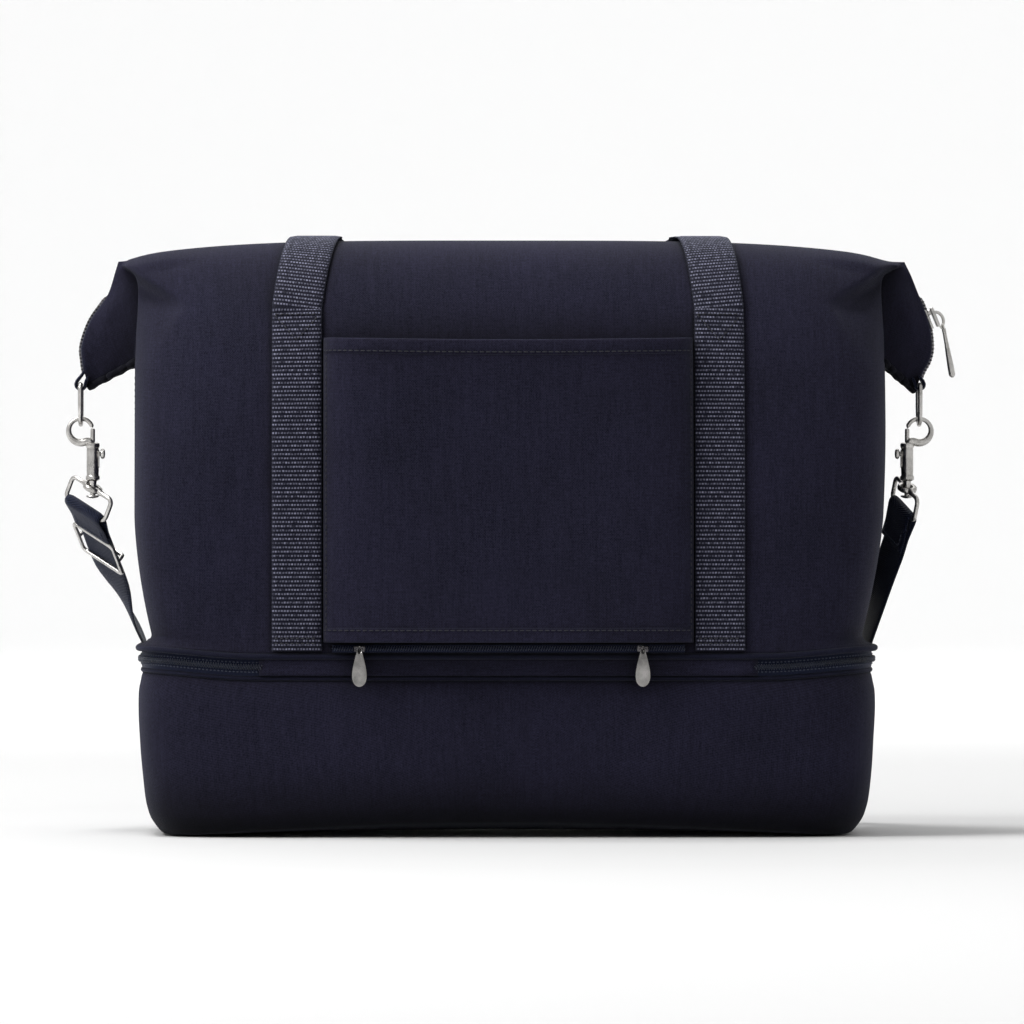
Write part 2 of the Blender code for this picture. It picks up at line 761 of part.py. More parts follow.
def sewn_run(name, x, side, web):
    """The webbing sewn up a face, from the zip band to the stitching below the shoulder."""
    low = rise_at(BODY_Z + 0.0035, x)
    stations = [
        (face_point(x, rise, side, WEB_LIFT), across_face(x, rise, side))
        for rise in rises_between(low, rise_at(STITCH_Z, x))
    ]
    ribbon(name, stations, web)


CREST_X = 0.1165  # the rear handle leans in as it goes over the top
CREST_LIFT = 0.0040
HINGE_GAP = 0.0018  # half the space that each webbing hinge leaves
FOLD_LOW = 0.208  # the lowest point of the rear handle as it hangs over the front
FRONT_LOW = 0.122  # and of the front handle


def riser_end(sign):
    return Vector((sign * CREST_X, 0.0, top_at(CREST_X) + CREST_LIFT))


# Down each leg of a hanging handle: the height, how far from the middle, the lift off the face and
# the way of the webbing's width, which turns as the handle bends round at the bottom
GRIP_LEG = (
    (0.3480, 0.1100, 0.0050, (1, 0, 0)),
    (0.3250, 0.1000, 0.0055, (1, 0, 0)),
    (0.2950, 0.0880, 0.0090, (0.95, 0.3, 0)),
    (0.2600, 0.0760, 0.0150, (0.75, 0.65, 0)),
    (0.2300, 0.0600, 0.0190, (0.35, 0.93, 0)),
    (0.2130, 0.0340, 0.0195, (0.10, 1.0, 0)),
)
FRONT_LEG = (
    (0.3060, 0.1250, 0.0060, (1, 0, 0)),
    (0.2800, 0.1250, 0.0065, (1, 0, 0)),
    (0.2400, 0.1250, 0.0080, (0.98, 0.2, 0)),
    (0.2000, 0.1220, 0.0130, (0.85, 0.5, 0)),
    (0.1650, 0.1080, 0.0190, (0.50, 0.87, 0)),
    (0.1380, 0.0800, 0.0195, (0.15, 1.0, 0)),
    (0.1250, 0.0400, 0.0195, (0.05, 1.0, 0)),
)
HANG_LIFT = 0.0195


def hanging_route(leg, low, top=()):
    """Down one leg, round the lowest point and up the other, with top at each end."""
    down = list(top)
    down += [(face_point(-x, rise_at(z, x), 1, lift), way) for z, x, lift, way in leg]
    bottom = face_point(0.0, rise_at(low), 1, HANG_LIFT)
    up = [((-place[0], place[1], place[2]), (-way[0], way[1], way[2])) for place, way in reversed(down)]
    return [*down, (bottom, (0, 1, 0)), *up]


def build_rear_handle(web):
    """The rear handle goes up over the top, and its grip hangs between the front handle's legs."""
    for side, (sign, _) in SIDES.items():
        begin = rise_at(STITCH_Z + 2 * HINGE_GAP, HANDLE_X)
        stations = []
        for rise in rises_between(begin, pi / 2):
            share = (rise - begin) / (pi / 2 - begin)
            x = sign * (HANDLE_X + (CREST_X - HANDLE_X) * share)
            lift = WEB_LIFT + (CREST_LIFT - WEB_LIFT) * min(1.0, 3 * share)
            stations.append((face_point(x, rise, -1, lift), across_face(x, rise, -1)))
        last = riser_end(sign)
        stations[-1] = (Vector((last.x, -HINGE_GAP, last.z)), (1, 0, 0))
        ribbon(f"rear_handle_{side}_riser", stations, web)
    end = riser_end(-1)
    route = hanging_route(GRIP_LEG, FOLD_LOW, [((end.x, HINGE_GAP, end.z), (1, 0, 0))])
    ribbon("rear_handle_grip", smooth_route(route), web)


def build_front_handle(web):
    """The front handle is folded down and hangs in front of the face."""
    ribbon("front_handle", smooth_route(hanging_route(FRONT_LEG, FRONT_LOW)), web)


def build_sleeve(fabric, tape):
    """The sleeve for a trolley handle: it stands off the rear face and is sewn down along its sides."""
    steps_across = 20
    steps_up = 8
    rows = []
    for j in range(steps_up + 1):
        z = SLEEVE_LOW + (SLEEVE_HIGH - SLEEVE_LOW) * j / steps_up
        row = []
        for i in range(steps_across + 1):
            share = 2 * i / steps_across - 1
            x = SLEEVE_HALF * share
            edge = face_point(x, rise_at(z, x), -1).y - SLEEVE_CLEAR
            bulge = (1 - abs(share) ** 6) ** 0.5
            row.append((x, edge + (-SLEEVE_OUT - edge) * bulge, z))
        rows.append(row)
    thicken(sheet_of("trolley_sleeve", rows, fabric), SLEEVE_THICK)
    low = BODY_Z + 0.0005
    high = low + SLEEVE_TAPE_HEIGHT
    rings = []
    for i in range(STRIP_STEPS + 1):
        x = SLEEVE_TAPE_HALF * (2 * i / STRIP_STEPS - 1)
        inside = face_point(x, rise_at(low + 0.001, x), -1).y - 0.0005
        outside = inside - SLEEVE_THICK
        rings.append([(x, inside, low), (x, inside, high), (x, outside, high), (x, outside, low)])
    loft("sleeve_zip_tape", rings, tape)


# Where each slider stands, and its pull: the length and width of a teardrop, and its distance in front
SLEEVE_PULLS = {"left": -0.088, "right": 0.079}
SLEEVE_SLIDER_AT = (-0.1048, 0.1113)
SLEEVE_PULL_AT = (-0.1092, 0.1135)
BAND_PULLS = {"left": -0.014, "right": 0.014}
BAND_SLIDER_OUT = 0.0028
BAND_PULL_OUT = 0.0066
BAND_PULL_UP = 0.0020
PULL_LENGTH = 0.0250
PULL_WIDTH = 0.0090
PULL_THICK = 0.0018
EYE_DROP = 0.0010  # from a teardrop's top to the eye that it hangs by
MAIN_PULL = 0.0330


def teardrop(name, x, y, top, look):
    """A teardrop pull that hangs from its narrow eye, facing along Y."""
    points = []
    for i in range(16):
        angle = 2 * pi * i / 16
        share = (1 - cos(angle)) / 2
        half = PULL_WIDTH / 2 * sin(angle) * (0.35 + 0.65 * share)
        points.append((x + half, top - PULL_LENGTH * share))
    rings = [[(px, y + hand * PULL_THICK / 2, pz) for px, pz in points] for hand in (-1, 1)]
    return loft(name, rings, look)


def build_zip_pulls(metal):
    """Two sliders under the sleeve and two on the base compartment's zip, each with its own pull."""
    for side, x in SLEEVE_PULLS.items():
        y, z = SLEEVE_SLIDER_AT
        block(f"sleeve_slider_{side}", (x, y, z), (0.0090, 0.0046, 0.0040), metal, 0.0008)
        teardrop(f"sleeve_pull_{side}", x, *SLEEVE_PULL_AT, metal)
    z = UPPER_TAPE_Z - GAP / 2
    for side, x in BAND_PULLS.items():
        y = HALF_DEPTH + BAND_SLIDER_OUT
        block(f"band_slider_{side}", (x, y, z), (0.0100, 0.0040, 0.0062), metal, 0.0008)
        teardrop(f"band_pull_{side}", x, HALF_DEPTH + BAND_PULL_OUT, z + BAND_PULL_UP, metal)


def main_slider_frame():
    """The middle of the top zip's slider, and its ways along the zip and out from the ear."""
    upper, lower = (Vector((x, 0.0, z)) for x, z, _ in EAR_EDGE["right"][1:3])
    along = (lower - upper).normalized()
    out = Vector((-along.z, 0.0, along.x))
    return lower + out * 0.0053, along, out


def main_pull_eye():
    place, along, out = main_slider_frame()
    return place + out * 0.0040 + along * 0.006


def build_main_slider(metal):
    """The top zip's slider, parked on the right ear, with its long pull hanging from it."""
    place, along, out = main_slider_frame()
    turn = Matrix((out, Vector((0, 1, 0)), -along)).transposed()
    block("main_zip_slider", place, (0.0050, 0.0080, 0.0110), metal, 0.0010, turn)
    eye = main_pull_eye()
    hang = Vector((0.18, 0.0, -0.984))
    stations = [(eye, (0, 1, 0)), (eye + hang * MAIN_PULL, (0, 1, 0))]
    ribbon("main_zip_pull", stations, metal, width=0.0050, thick=0.0020)


# The moving bodies


def pivot(body, place, pieces, parent=None):
    """An empty at a point of the body's joint axis, which its pieces and its parent's empty hold."""
    made = bpy.data.objects.new(body + "_pivot", None)
    made.location = Vector(place)
    made.empty_display_size = 0.01
    bpy.context.scene.collection.objects.link(made)
    if parent:
        made.parent = parent
        made.matrix_parent_inverse = Matrix.Translation(-parent.location)
    for name in pieces:
        piece = bpy.data.objects[name]
        piece.parent = made
        piece.matrix_parent_inverse = Matrix.Translation(-made.location)
    return made


UPPER_BODY = (
    "upper_zip_tape",
    "upper_piping",
    "divider_panel",
    "divider_board",
    "rear_panel",
    "front_panel",
    "main_zip",
    "trolley_sleeve",
    "sleeve_zip_tape",
)
UPPER_BODY_AT_EACH_SIDE = ("{}_ear", "{}_zip_end", "{}_ring_tab", "rear_{}_webbing", "front_{}_webbing")


def add_pivots():
    names = [*UPPER_BODY, *(name.format(side) for side in SIDES for name in UPPER_BODY_AT_EACH_SIDE)]
    upper = pivot("upper_body", (0, FOLD_Y, FOLD_Z), names)
    strap_pieces = ("strap_webbing", "left_strap_loop", "right_strap_loop")
    strap = pivot("shoulder_strap", (0, 0, RING_ARC_Z), strap_pieces, upper)
    hub, _, down, along = loop_frame("left")
    pivot("adjuster", hub + down * LOOP_DROP + along * ADJUSTER_AT, ["strap_adjuster"], strap)
    for side, (sign, middle) in SIDES.items():
        pivot(f"{side}_ring", (middle, 0, RING_BAR_Z), [f"{side}_d_ring"], upper)
        barrel_x = middle - sign * BARREL_IN
        hook = pivot(f"{side}_hook", (barrel_x, 0, HUB_Z), [f"{side}_hook"], strap)
        pivot(f"{side}_bolt", (barrel_x, 0, BOLT_LOW), [f"{side}_hook_bolt"], hook)
    stitched = face_point(HANDLE_X, rise_at(STITCH_Z + HINGE_GAP, HANDLE_X), -1, WEB_LIFT)
    risers = [f"rear_handle_{side}_riser" for side in SIDES]
    rear = pivot("rear_handle", stitched, risers, upper)
    pivot("rear_grip", (0, 0, riser_end(1).z), ["rear_handle_grip"], rear)
    folded = face_point(HANDLE_X, rise_at(FRONT_LEG[0][0], HANDLE_X), 1, FRONT_LEG[0][2])
    pivot("front_handle", folded, ["front_handle"], upper)
    slider = pivot("main_slider", main_slider_frame()[0], ["main_zip_slider"], upper)
    pivot("main_pull", main_pull_eye(), ["main_zip_pull"], slider)
    band_z = UPPER_TAPE_Z - GAP / 2
    for side in SIDES:
        x = SLEEVE_PULLS[side]
        y, z = SLEEVE_PULL_AT
        slider = pivot(f"sleeve_{side}", (x, SLEEVE_SLIDER_AT[0], z), [f"sleeve_slider_{side}"], upper)
        pivot(f"sleeve_{side}_pull", (x, y, z - EYE_DROP), [f"sleeve_pull_{side}"], slider)
        x = BAND_PULLS[side]
        slider = pivot(f"band_{side}", (x, HALF_DEPTH, band_z), [f"band_slider_{side}"])
        eye = (x, HALF_DEPTH + BAND_PULL_OUT, band_z + BAND_PULL_UP - EYE_DROP)
        pivot(f"band_{side}_pull", eye, [f"band_pull_{side}"], slider)


def build():
    clear_scene()
    fabric = material("navy_canvas", (0.012, 0.015, 0.028), 0.85)
    web = material("ribbed_webbing", (0.010, 0.013, 0.030), 0.70)
    tape = material("zip_tape", (0.010, 0.012, 0.025), 0.60)
    board = material("stiffener_board", (0.050, 0.050, 0.055), 0.60)
    metal = material("satin_nickel", (0.62, 0.60, 0.57), 0.28, 1.0)
    build_base(fabric, board, tape)
    build_panels(fabric, board, tape)
    build_main_zip(tape)
    for side, (sign, _) in SIDES.items():
        build_ear(side, fabric, tape)
        build_ring(side, metal)
        build_hook(side, metal)
        sewn_run(f"rear_{side}_webbing", sign * HANDLE_X, -1, web)
        sewn_run(f"front_{side}_webbing", sign * HANDLE_X, 1, web)
    build_rear_handle(web)
    build_front_handle(web)
    build_sleeve(fabric, tape)
    build_zip_pulls(metal)
    build_main_slider(metal)
    build_strap(web, metal)
    add_pivots()


build()
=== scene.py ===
"""The looks of a weekender tote bag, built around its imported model.

Metres, +Z up. X runs along the bag's width and the trolley sleeve is on the rear face, towards -Y.
"""

from math import asin, cos, exp, pi, radians, sin, tau

import bmesh
import bpy
from mathutils import Matrix, Vector, noise


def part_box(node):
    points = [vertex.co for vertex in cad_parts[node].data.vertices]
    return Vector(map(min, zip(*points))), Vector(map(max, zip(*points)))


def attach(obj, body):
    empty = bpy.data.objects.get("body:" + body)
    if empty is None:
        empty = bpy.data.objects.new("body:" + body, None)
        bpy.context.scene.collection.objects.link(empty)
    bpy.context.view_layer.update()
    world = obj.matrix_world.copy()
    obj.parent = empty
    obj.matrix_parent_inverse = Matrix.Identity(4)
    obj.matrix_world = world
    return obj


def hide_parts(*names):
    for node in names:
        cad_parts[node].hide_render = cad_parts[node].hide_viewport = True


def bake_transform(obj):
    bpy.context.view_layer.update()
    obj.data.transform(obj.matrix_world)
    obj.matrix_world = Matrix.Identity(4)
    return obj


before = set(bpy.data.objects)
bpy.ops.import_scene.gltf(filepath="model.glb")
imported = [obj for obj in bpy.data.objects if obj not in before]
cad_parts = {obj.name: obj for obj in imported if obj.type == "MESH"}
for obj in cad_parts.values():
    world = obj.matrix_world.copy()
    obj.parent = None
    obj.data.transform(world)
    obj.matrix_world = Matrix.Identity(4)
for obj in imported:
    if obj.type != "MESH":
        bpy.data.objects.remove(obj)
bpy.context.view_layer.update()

# The design's own dimensions, repeated
HALF_WIDTH = 0.220
HALF_DEPTH = 0.100
CORNER_POWER = 6.0
TOP_CORNER_POWER = 3.0
SHOULDER_POWER = 3.6
GAP = 0.0003
BASE_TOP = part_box("base_wall")[1].z
LOWER_TAPE_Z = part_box("lower_zip_tape")[0].z
UPPER_TAPE_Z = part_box("upper_zip_tape")[0].z
UPPER_PIPING_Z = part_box("upper_piping")[0].z
BODY_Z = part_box("rear_panel")[0].z
BODY_TOP = 0.3550
TOP_DROP = 0.0090
BODY_HALF_WIDTH = 0.2225
CREST_HALF = 0.0065
STRIP_HALF = 0.147
WEB_WIDTH = 0.030
WEB_THICK = 0.0018
RIB_PITCH = 0.0025
WEB_LIFT = 0.0016
HANDLE_X = 0.125
SLEEVE_HALF = 0.1092
SLEEVE_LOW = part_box("trolley_sleeve")[0].z
SLEEVE_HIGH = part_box("trolley_sleeve")[1].z
SLEEVE_OUT = 0.1155
SIDES = {"left": (-1, -0.2555), "right": (1, 0.2490)}
RING_BAR_Z = 0.2685
RING_ARC = 0.011
RING_WIRE = 0.0014
RING_ARC_Z = 0.2556
HOOK_ARC = 0.00725
HOOK_Z = 0.2409
BARREL_LOW = 0.2106
BARREL_HIGH = 0.2338
BARREL_IN = 0.0072
PIN_LOW = 0.2205
KNOB_Z = 0.2270
HUB_Z = 0.2064
LOOP_DROP = 0.0142
LOOP_HALF = 0.0170
LOOP_WIRE = 0.0014

CLOTH_THICK = 0.0016
TAPE_THICK = 0.0008

# Stitches: length, gap and the thread's radius
SEAM_STITCH = (0.0026, 0.0011, 0.00032)
HEM_STITCH = (0.0027, 0.0010, 0.00032)
WEB_STITCH = (0.0022, 0.0009, 0.00034)
TAPE_STITCH = (0.0014, 0.0009, 0.00034)
STRAP_STITCH = (0.0020, 0.0008, 0.00032)
STITCH_LIFT = 0.0002

# How the soft parts stand at rest
WAIST_HALF_WIDTH = 0.2105
BAND_RISE = 0.0045  # the zip band is this much higher at the ends of the bag
ARCH = 0.0105  # the lower edge of each long side is lifted in its middle


# Curves and numbers


def power(value, exponent):
    """A signed power, for superellipses."""
    return abs(value) ** exponent * (1 if value >= 0 else -1)


def clamp(value):
    return min(1.0, max(0.0, value))


def smooth(value):
    """0 below 0, 1 above 1, and a soft step between them."""
    value = clamp(value)
    return value * value * (3 - 2 * value)


def mix(a, b, share):
    return a + (b - a) * share


def distances(points):
    """How far along the line each of its points is."""
    made = [0.0]
    for a, b in zip(points, points[1:]):
        made.append(made[-1] + (Vector(b) - Vector(a)).length)
    return made


def walk(reach, marks):
    """For each mark along a line, the stretch that it is on and its share of that stretch. reach holds
    how far along each of the line's points is, and the marks grow."""
    k = 0
    for at in marks:
        while k < len(reach) - 2 and reach[k + 1] < at:
            k += 1
        yield k, clamp((at - reach[k]) / max(reach[k + 1] - reach[k], 1e-9))


def even(points, steps, closed=False):
    """The same line with evenly spaced points."""
    points = [Vector(p) for p in points]
    if closed:
        points.append(points[0])
    reach = distances(points)
    marks = [reach[-1] * i / steps for i in range(steps if closed else steps + 1)]
    return [points[k].lerp(points[k + 1], share) for k, share in walk(reach, marks)]


def curve_through(points, steps):
    """A smooth curve through the points, which may hold more than three numbers each."""

    def between(p, q, r, s, t):
        bend = (2 * p - 5 * q + 4 * r - s) * t**2
        turn = (3 * q - p - 3 * r + s) * t**3
        return (2 * q + (r - p) * t + bend + turn) / 2

    made = []
    last = len(points) - 1
    for i in range(last):
        near = [points[min(max(k, 0), last)] for k in range(i - 1, i + 3)]
        for j in range(steps):
            made.append(tuple(between(*numbers, j / steps) for numbers in zip(*near)))
    made.append(tuple(points[-1]))
    return made


def arc(middle, first, second, radius, start, end, steps):
    """Points on a circle in the plane of two directions, from start to end in degrees."""
    made = []
    for i in range(steps + 1):
        angle = radians(mix(start, end, i / steps))
        made.append(middle + first * radius * cos(angle) + second * radius * sin(angle))
    return made


def at_height(line, z):
    """The other numbers of a line of (x, y, z), read at a height; z falls along the line."""
    for (x0, y0, z0), (x1, y1, z1) in zip(line, line[1:]):
        if z >= z1:
            share = clamp((z0 - z) / (z0 - z1))
            return mix(x0, x1, share), mix(y0, y1, share)
    return line[-1][0], line[-1][1]


# The bag's outline and faces


def top_at(x):
    """The body's height at a distance from its middle."""
    return BODY_TOP - TOP_DROP * (abs(x) / BODY_HALF_WIDTH) ** 4


def width_at(height):
    """Half the body's width at a share of its height, with its slack waist and its wider lower edge."""
    slack = max(0.0, 1 - height / 0.35)
    flare = 0.0085 * max(0.0, 1 - height / 0.03) ** 2
    return BODY_HALF_WIDTH - (BODY_HALF_WIDTH - WAIST_HALF_WIDTH) * slack**1.6 + flare


def cad_width_at(height):
    """The same in the design's plain shape, on which the webbing and the sleeve are laid."""
    slack = max(0.0, 1 - height / 0.35)
    return BODY_HALF_WIDTH - 0.0100 * slack**2


def squareness_at(height):
    """The exponent of the body's outline: it gets rounder towards the top."""
    return CORNER_POWER - (CORNER_POWER - TOP_CORNER_POWER) * height**2


def depth_at(height):
    """Half the body's depth at a share of its height: upright, then in over the shoulder."""
    rise = asin(clamp(height) ** (SHOULDER_POWER / 2))
    return HALF_DEPTH * cos(rise) ** (2 / SHOULDER_POWER)


def rounded(share, exponent):
    """How far a superellipse stands out at a share of its half width."""
    return max(0.0, 1 - abs(share) ** exponent) ** (1 / exponent)


def band_rise(x):
    """How much higher the zip band is than in its middle."""
    return BAND_RISE * smooth((abs(x) - 0.150) / 0.075)


def rim_point(angle, half_width=HALF_WIDTH, half_depth=HALF_DEPTH):
    """A point of the base's rounded outline, as (x, y)."""
    exponent = 2 / CORNER_POWER
    return half_width * power(cos(angle), exponent), half_depth * power(sin(angle), exponent)


def outline(offset, steps):
    """The base's outline, from the middle of the rear and all the way round past the left."""
    fine = []
    for i in range(1440):
        x, y = rim_point(-pi / 2 - tau * i / 1440, HALF_WIDTH + offset, HALF_DEPTH + offset)
        fine.append(Vector((x, y, 0)))
    return even(fine, steps, closed=True)


def on_band(line, z):
    """A line round the bag at a height of the zip band, which rises towards the bag's ends."""
    return [Vector((p.x, p.y, z + band_rise(p.x))) for p in line]


def part_outline(offset, steps):
    """The outline without the plain strip in the middle of the rear."""
    whole = outline(offset, 1600)
    kept = [p for p in whole if p.y > 0 or abs(p.x) > STRIP_HALF - 0.002]
    return even(kept, steps)


def sag(x, z):
    """How far the body's long faces stand out from their plain shape: soft, slow waves."""
    broad = Vector((x * 9, z * 7, 0.3))
    fine = Vector((x * 24, z * 15, 5.1))
    body = clamp((z - BODY_Z) / 0.03) * clamp((0.345 - z) / 0.05)
    return body * (0.0016 * noise.noise(broad) + 0.0006 * noise.noise(fine) - 0.0004)


def face_point(x, z, side, lift=0.0):
    """A point of the rear (side -1) or front (side 1) face, lifted off it."""

    def bare(height):
        y = depth_at(height) * rounded(x / cad_width_at(height), squareness_at(height))
        return Vector((x, side * y, BODY_Z + (top_at(x) - BODY_Z) * height))

    height = clamp((z - BODY_Z) / (top_at(x) - BODY_Z))
    small = 0.004
    along = bare(min(height + small, 1.0)) - bare(max(height - small, 0.0))
    out = Vector((0.0, side * along.z, -side * along.y)).normalized()
    return bare(height) + out * (lift + sag(x, z))


# Meshes


def add_mesh(name, points, faces, look, weave=None):
    mesh = bpy.data.meshes.new(name)
    mesh.from_pydata([tuple(p) for p in points], [], faces)
    if weave:
        layer = mesh.attributes.new("weave", "FLOAT_VECTOR", "POINT")
        layer.data.foreach_set("vector", [number for place in weave for number in place])
    mesh.materials.append(look)
    mesh.shade_smooth()
    made = bpy.data.objects.new(name, mesh)
    bpy.context.scene.collection.objects.link(made)
    return made


def grid_faces(rows, columns, looped=False, flipped=False, start=0):
    faces = []
    for j in range(rows - 1):
        for i in range(columns if looped else columns - 1):
            k = (i + 1) % columns
            face = (j * columns + i, j * columns + k, (j + 1) * columns + k, (j + 1) * columns + i)
            faces.append(tuple(start + n for n in (face[::-1] if flipped else face)))
    return faces


def tube_faces(rows, columns, flipped=False, start=0):
    """The faces of a tube through rows of points, with both its ends."""
    first = tuple(range(start, start + columns))
    last = tuple(range(start + columns * (rows - 1), start + columns * rows))
    ends = [first, last[::-1]] if flipped else [first[::-1], last]
    return grid_faces(rows, columns, True, flipped, start) + ends


def ring_faces(rows, columns, flipped=False):
    """The faces of a tube that runs back into itself."""
    last = (rows - 1) * columns
    faces = grid_faces(rows, columns, True, flipped)
    for k in range(columns):
        m = (k + 1) % columns
        face = (last + k, last + m, m, k)
        faces.append(face[::-1] if flipped else face)
    return faces


def sheet(name, rows, look, looped=False, flipped=False, middle=False):
    """An open surface through rows of points. Its weave runs along and across the rows."""
    columns = len(rows[0])
    across = [distances(row) for row in rows]
    if middle:
        across = [[d - row[columns // 2] for d in row] for row in across]
    if looped:
        widest = max(row[-1] for row in across)
        across = [[d * widest / row[-1] for d in row] for row in across]
    up = [distances([row[i] for row in rows]) for i in range(columns)]
    weave = [(across[j][i], up[i][j], 0.0) for j in range(len(rows)) for i in range(columns)]
    points = [p for row in rows for p in row]
    return add_mesh(name, points, grid_faces(len(rows), columns, looped, flipped), look, weave)


def thicken(piece, thick, inner=None):
    """Gives a sheet its thickness, inward; inner is the look of its inner face."""
    change = piece.modifiers.new("thickness", "SOLIDIFY")
    change.thickness = thick
    change.offset = -1
    if inner:
        piece.data.materials.append(inner)
        change.material_offset = 1
    return piece


def subdivide(piece):
    change = piece.modifiers.new("smooth", "SUBSURF")
    change.levels = 1
    change.render_levels = 1
    return piece


def frames_along(points, closed, start):
    """For each point of a line, the way along it and two ways across, without needless twist."""
    count = len(points)
    along = []
    for i in range(count):
        before = points[i - 1] if i or closed else points[0]
        after = points[(i + 1) % count] if i < count - 1 or closed else points[-1]
        along.append((after - before).normalized())
    side = Vector(start) if start else along[0].orthogonal()
    made = []
    for way in along:
        side = (side - side.dot(way) * way).normalized()
        made.append((way, side, way.cross(side)))
    return made


def sweep(name, points, radius, look, closed=False, sides=14, flat=1.0, start=None):
    """A round bar along a line. radius is a number or a function of the share of the way along it,
    and flat squeezes it in its second direction."""
    points = [Vector(p) for p in points]
    count = len(points)
    reach = distances(points)
    size = radius if callable(radius) else lambda share: radius
    made = []
    weave = []
    for i, (_, first, second) in enumerate(frames_along(points, closed, start)):
        r = size(reach[i] / reach[-1])
        for k in range(sides):
            angle = tau * k / sides
            made.append(points[i] + first * r * cos(angle) + second * r * flat * sin(angle))
            weave.append((reach[i], r * angle, 0.0))
    faces = ring_faces(count, sides) if closed else tube_faces(count, sides)
    return add_mesh(name, made, faces, look, weave)


def lathe(name, profile, foot, axis, look, segments):
    """A turned piece: the profile's points are (radius, distance up the axis from its foot)."""
    axis = Vector(axis).normalized()
    first = axis.orthogonal().normalized()
    second = axis.cross(first)
    made = []
    for radius, up in profile:
        for k in range(segments):
            angle = tau * k / segments
            made.append(Vector(foot) + axis * up + (first * cos(angle) + second * sin(angle)) * radius)
    return add_mesh(name, made, tube_faces(len(profile), segments), look)


def join(name, pieces):
    """One piece from several, each keeping its own surface."""
    points = []
    faces = []
    looks = []
    slots = []
    for item in pieces:
        start = len(points)
        points += [v.co.copy() for v in item.data.vertices]
        look = item.data.materials[0]
        if look not in looks:
            looks.append(look)
        for polygon in item.data.polygons:
            faces.append(tuple(start + n for n in polygon.vertices))
            slots.append(looks.index(look))
        bpy.data.objects.remove(item, do_unlink=True)
    made = add_mesh(name, points, faces, looks[0])
    for look in looks[1:]:
        made.data.materials.append(look)
    made.data.polygons.foreach_set("material_index", slots)
    return made


def crease(piece, degrees=40):
    """Sharp shading at edges over this angle."""
    piece.data.set_sharp_from_angle(angle=radians(degrees))
    return piece


def ribbon(
    name, stations, look, width=WEB_WIDTH, thick=WEB_THICK, rib=0.0, pitch=RIB_PITCH, step=None, lanes=8
):
    """Flat webbing along stations, each a middle and the way of its width. rib is the height of the
    cross ribs, which follow each other at the pitch. width is a number or a function of the share."""
    numbers = [(*middle, *way) for middle, way in stations]
    if step:
        reach = distances([n[:3] for n in numbers])
        steps = max(2, round(reach[-1] / step))
        made = []
        for k, share in walk(reach, [reach[-1] * i / steps for i in range(steps + 1)]):
            made.append(tuple(mix(a, b, share) for a, b in zip(numbers[k], numbers[k + 1])))
        numbers = made
    middles = [Vector(n[:3]) for n in numbers]
    reach = distances(middles)
    points = []
    weave = []
    for i, n in enumerate(numbers):
        along = (middles[min(i + 1, len(middles) - 1)] - middles[max(i - 1, 0)]).normalized()
        across = Vector(n[3:])
        across = (across - across.dot(along) * along).normalized()
        out = along.cross(across)
        swell = 0.5 - 0.5 * cos(tau * reach[i] / pitch)
        full = width(i / (len(numbers) - 1)) if callable(width) else width
        half = full / 2 - rib * (1 - swell) * 0.8
        for hand in (1, -1):
            for lane in range(lanes + 1):
                share = hand * (1 - 2 * lane / lanes)
                rounding = max(0.3, (1 - abs(share) ** 10) ** 0.5)
                lift = (thick / 2 - rib * (1 - swell)) * rounding
                points.append(middles[i] + across * half * share + out * lift * hand)
                weave.append((half * share, reach[i], 0.0))
    faces = tube_faces(len(numbers), 2 * (lanes + 1), flipped=True)
    return add_mesh(name, points, faces, look, weave)


def stitch_row(points, ups, size):
    """Stitches along a line: each a short thread that dips at its ends. ups are the ways off the cloth."""
    length, gap, radius = size
    points = [Vector(p) for p in points]
    reach = distances(points)
    centres = []
    at = 0.0
    while at + length < reach[-1]:
        centres.append(at + length / 2)
        at += length + gap
    made = []
    for k, share in walk(reach, centres):
        along = (points[k + 1] - points[k]).normalized()
        up = Vector(ups[k])
        up = (up - up.dot(along) * along).normalized()
        made.append((points[k].lerp(points[k + 1], share), along, up, length, radius))
    return made


def stitching(name, stitches, look):
    """One piece from many stitches."""
    points = []
    faces = []
    sides = 6
    # Along the thread: the share of its length, its girth and how high it stands
    rings = ((-0.5, 0.35, -0.9), (-0.36, 0.95, 0.1), (0.0, 1.05, 0.5), (0.36, 0.95, 0.1), (0.5, 0.35, -0.9))
    for middle, along, up, length, radius in stitches:
        start = len(points)
        across = along.cross(up)
        for share, size, lift in rings:
            centre = middle + along * share * length + up * lift * radius
            for k in range(sides):
                angle = tau * k / sides
                points.append(centre + (across * cos(angle) + up * sin(angle)) * radius * size)
        faces += tube_faces(len(rings), sides, flipped=True, start=start)
    return add_mesh(name, points, faces, look)


def place(piece, body, slot, *nodes):
    """The piece rides on a body and stands for some nodes, which it hides. slot is not used."""
    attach(piece, body)
    if nodes:
        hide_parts(*nodes)
    return piece


# Looks


def node(tree, kind, inputs=None, **settings):
    """A shader node; an input is a number, a colour or another node's output."""
    made = tree.nodes.new("ShaderNode" + kind)
    for key, value in settings.items():
        setattr(made, key, value)
    for key, value in (inputs or {}).items():
        if isinstance(value, bpy.types.NodeSocket):
            tree.links.new(value, made.inputs[key])
        else:
            made.inputs[key].default_value = value
    return made


def calc(tree, operation, *values):
    return node(tree, "Math", dict(enumerate(values)), operation=operation).outputs[0]


def grain(tree, where, scale, detail=3.0, rough=0.6):
    """Soft noise around 0.5; scale is a number, or a stretch in three directions."""
    if isinstance(scale, tuple):
        where = node(tree, "VectorMath", {0: where, 1: scale}, operation="MULTIPLY").outputs[0]
        scale = 1.0
    inputs = {"Vector": where, "Scale": scale, "Detail": detail, "Roughness": rough}
    return node(tree, "TexNoise", inputs).outputs["Fac"]


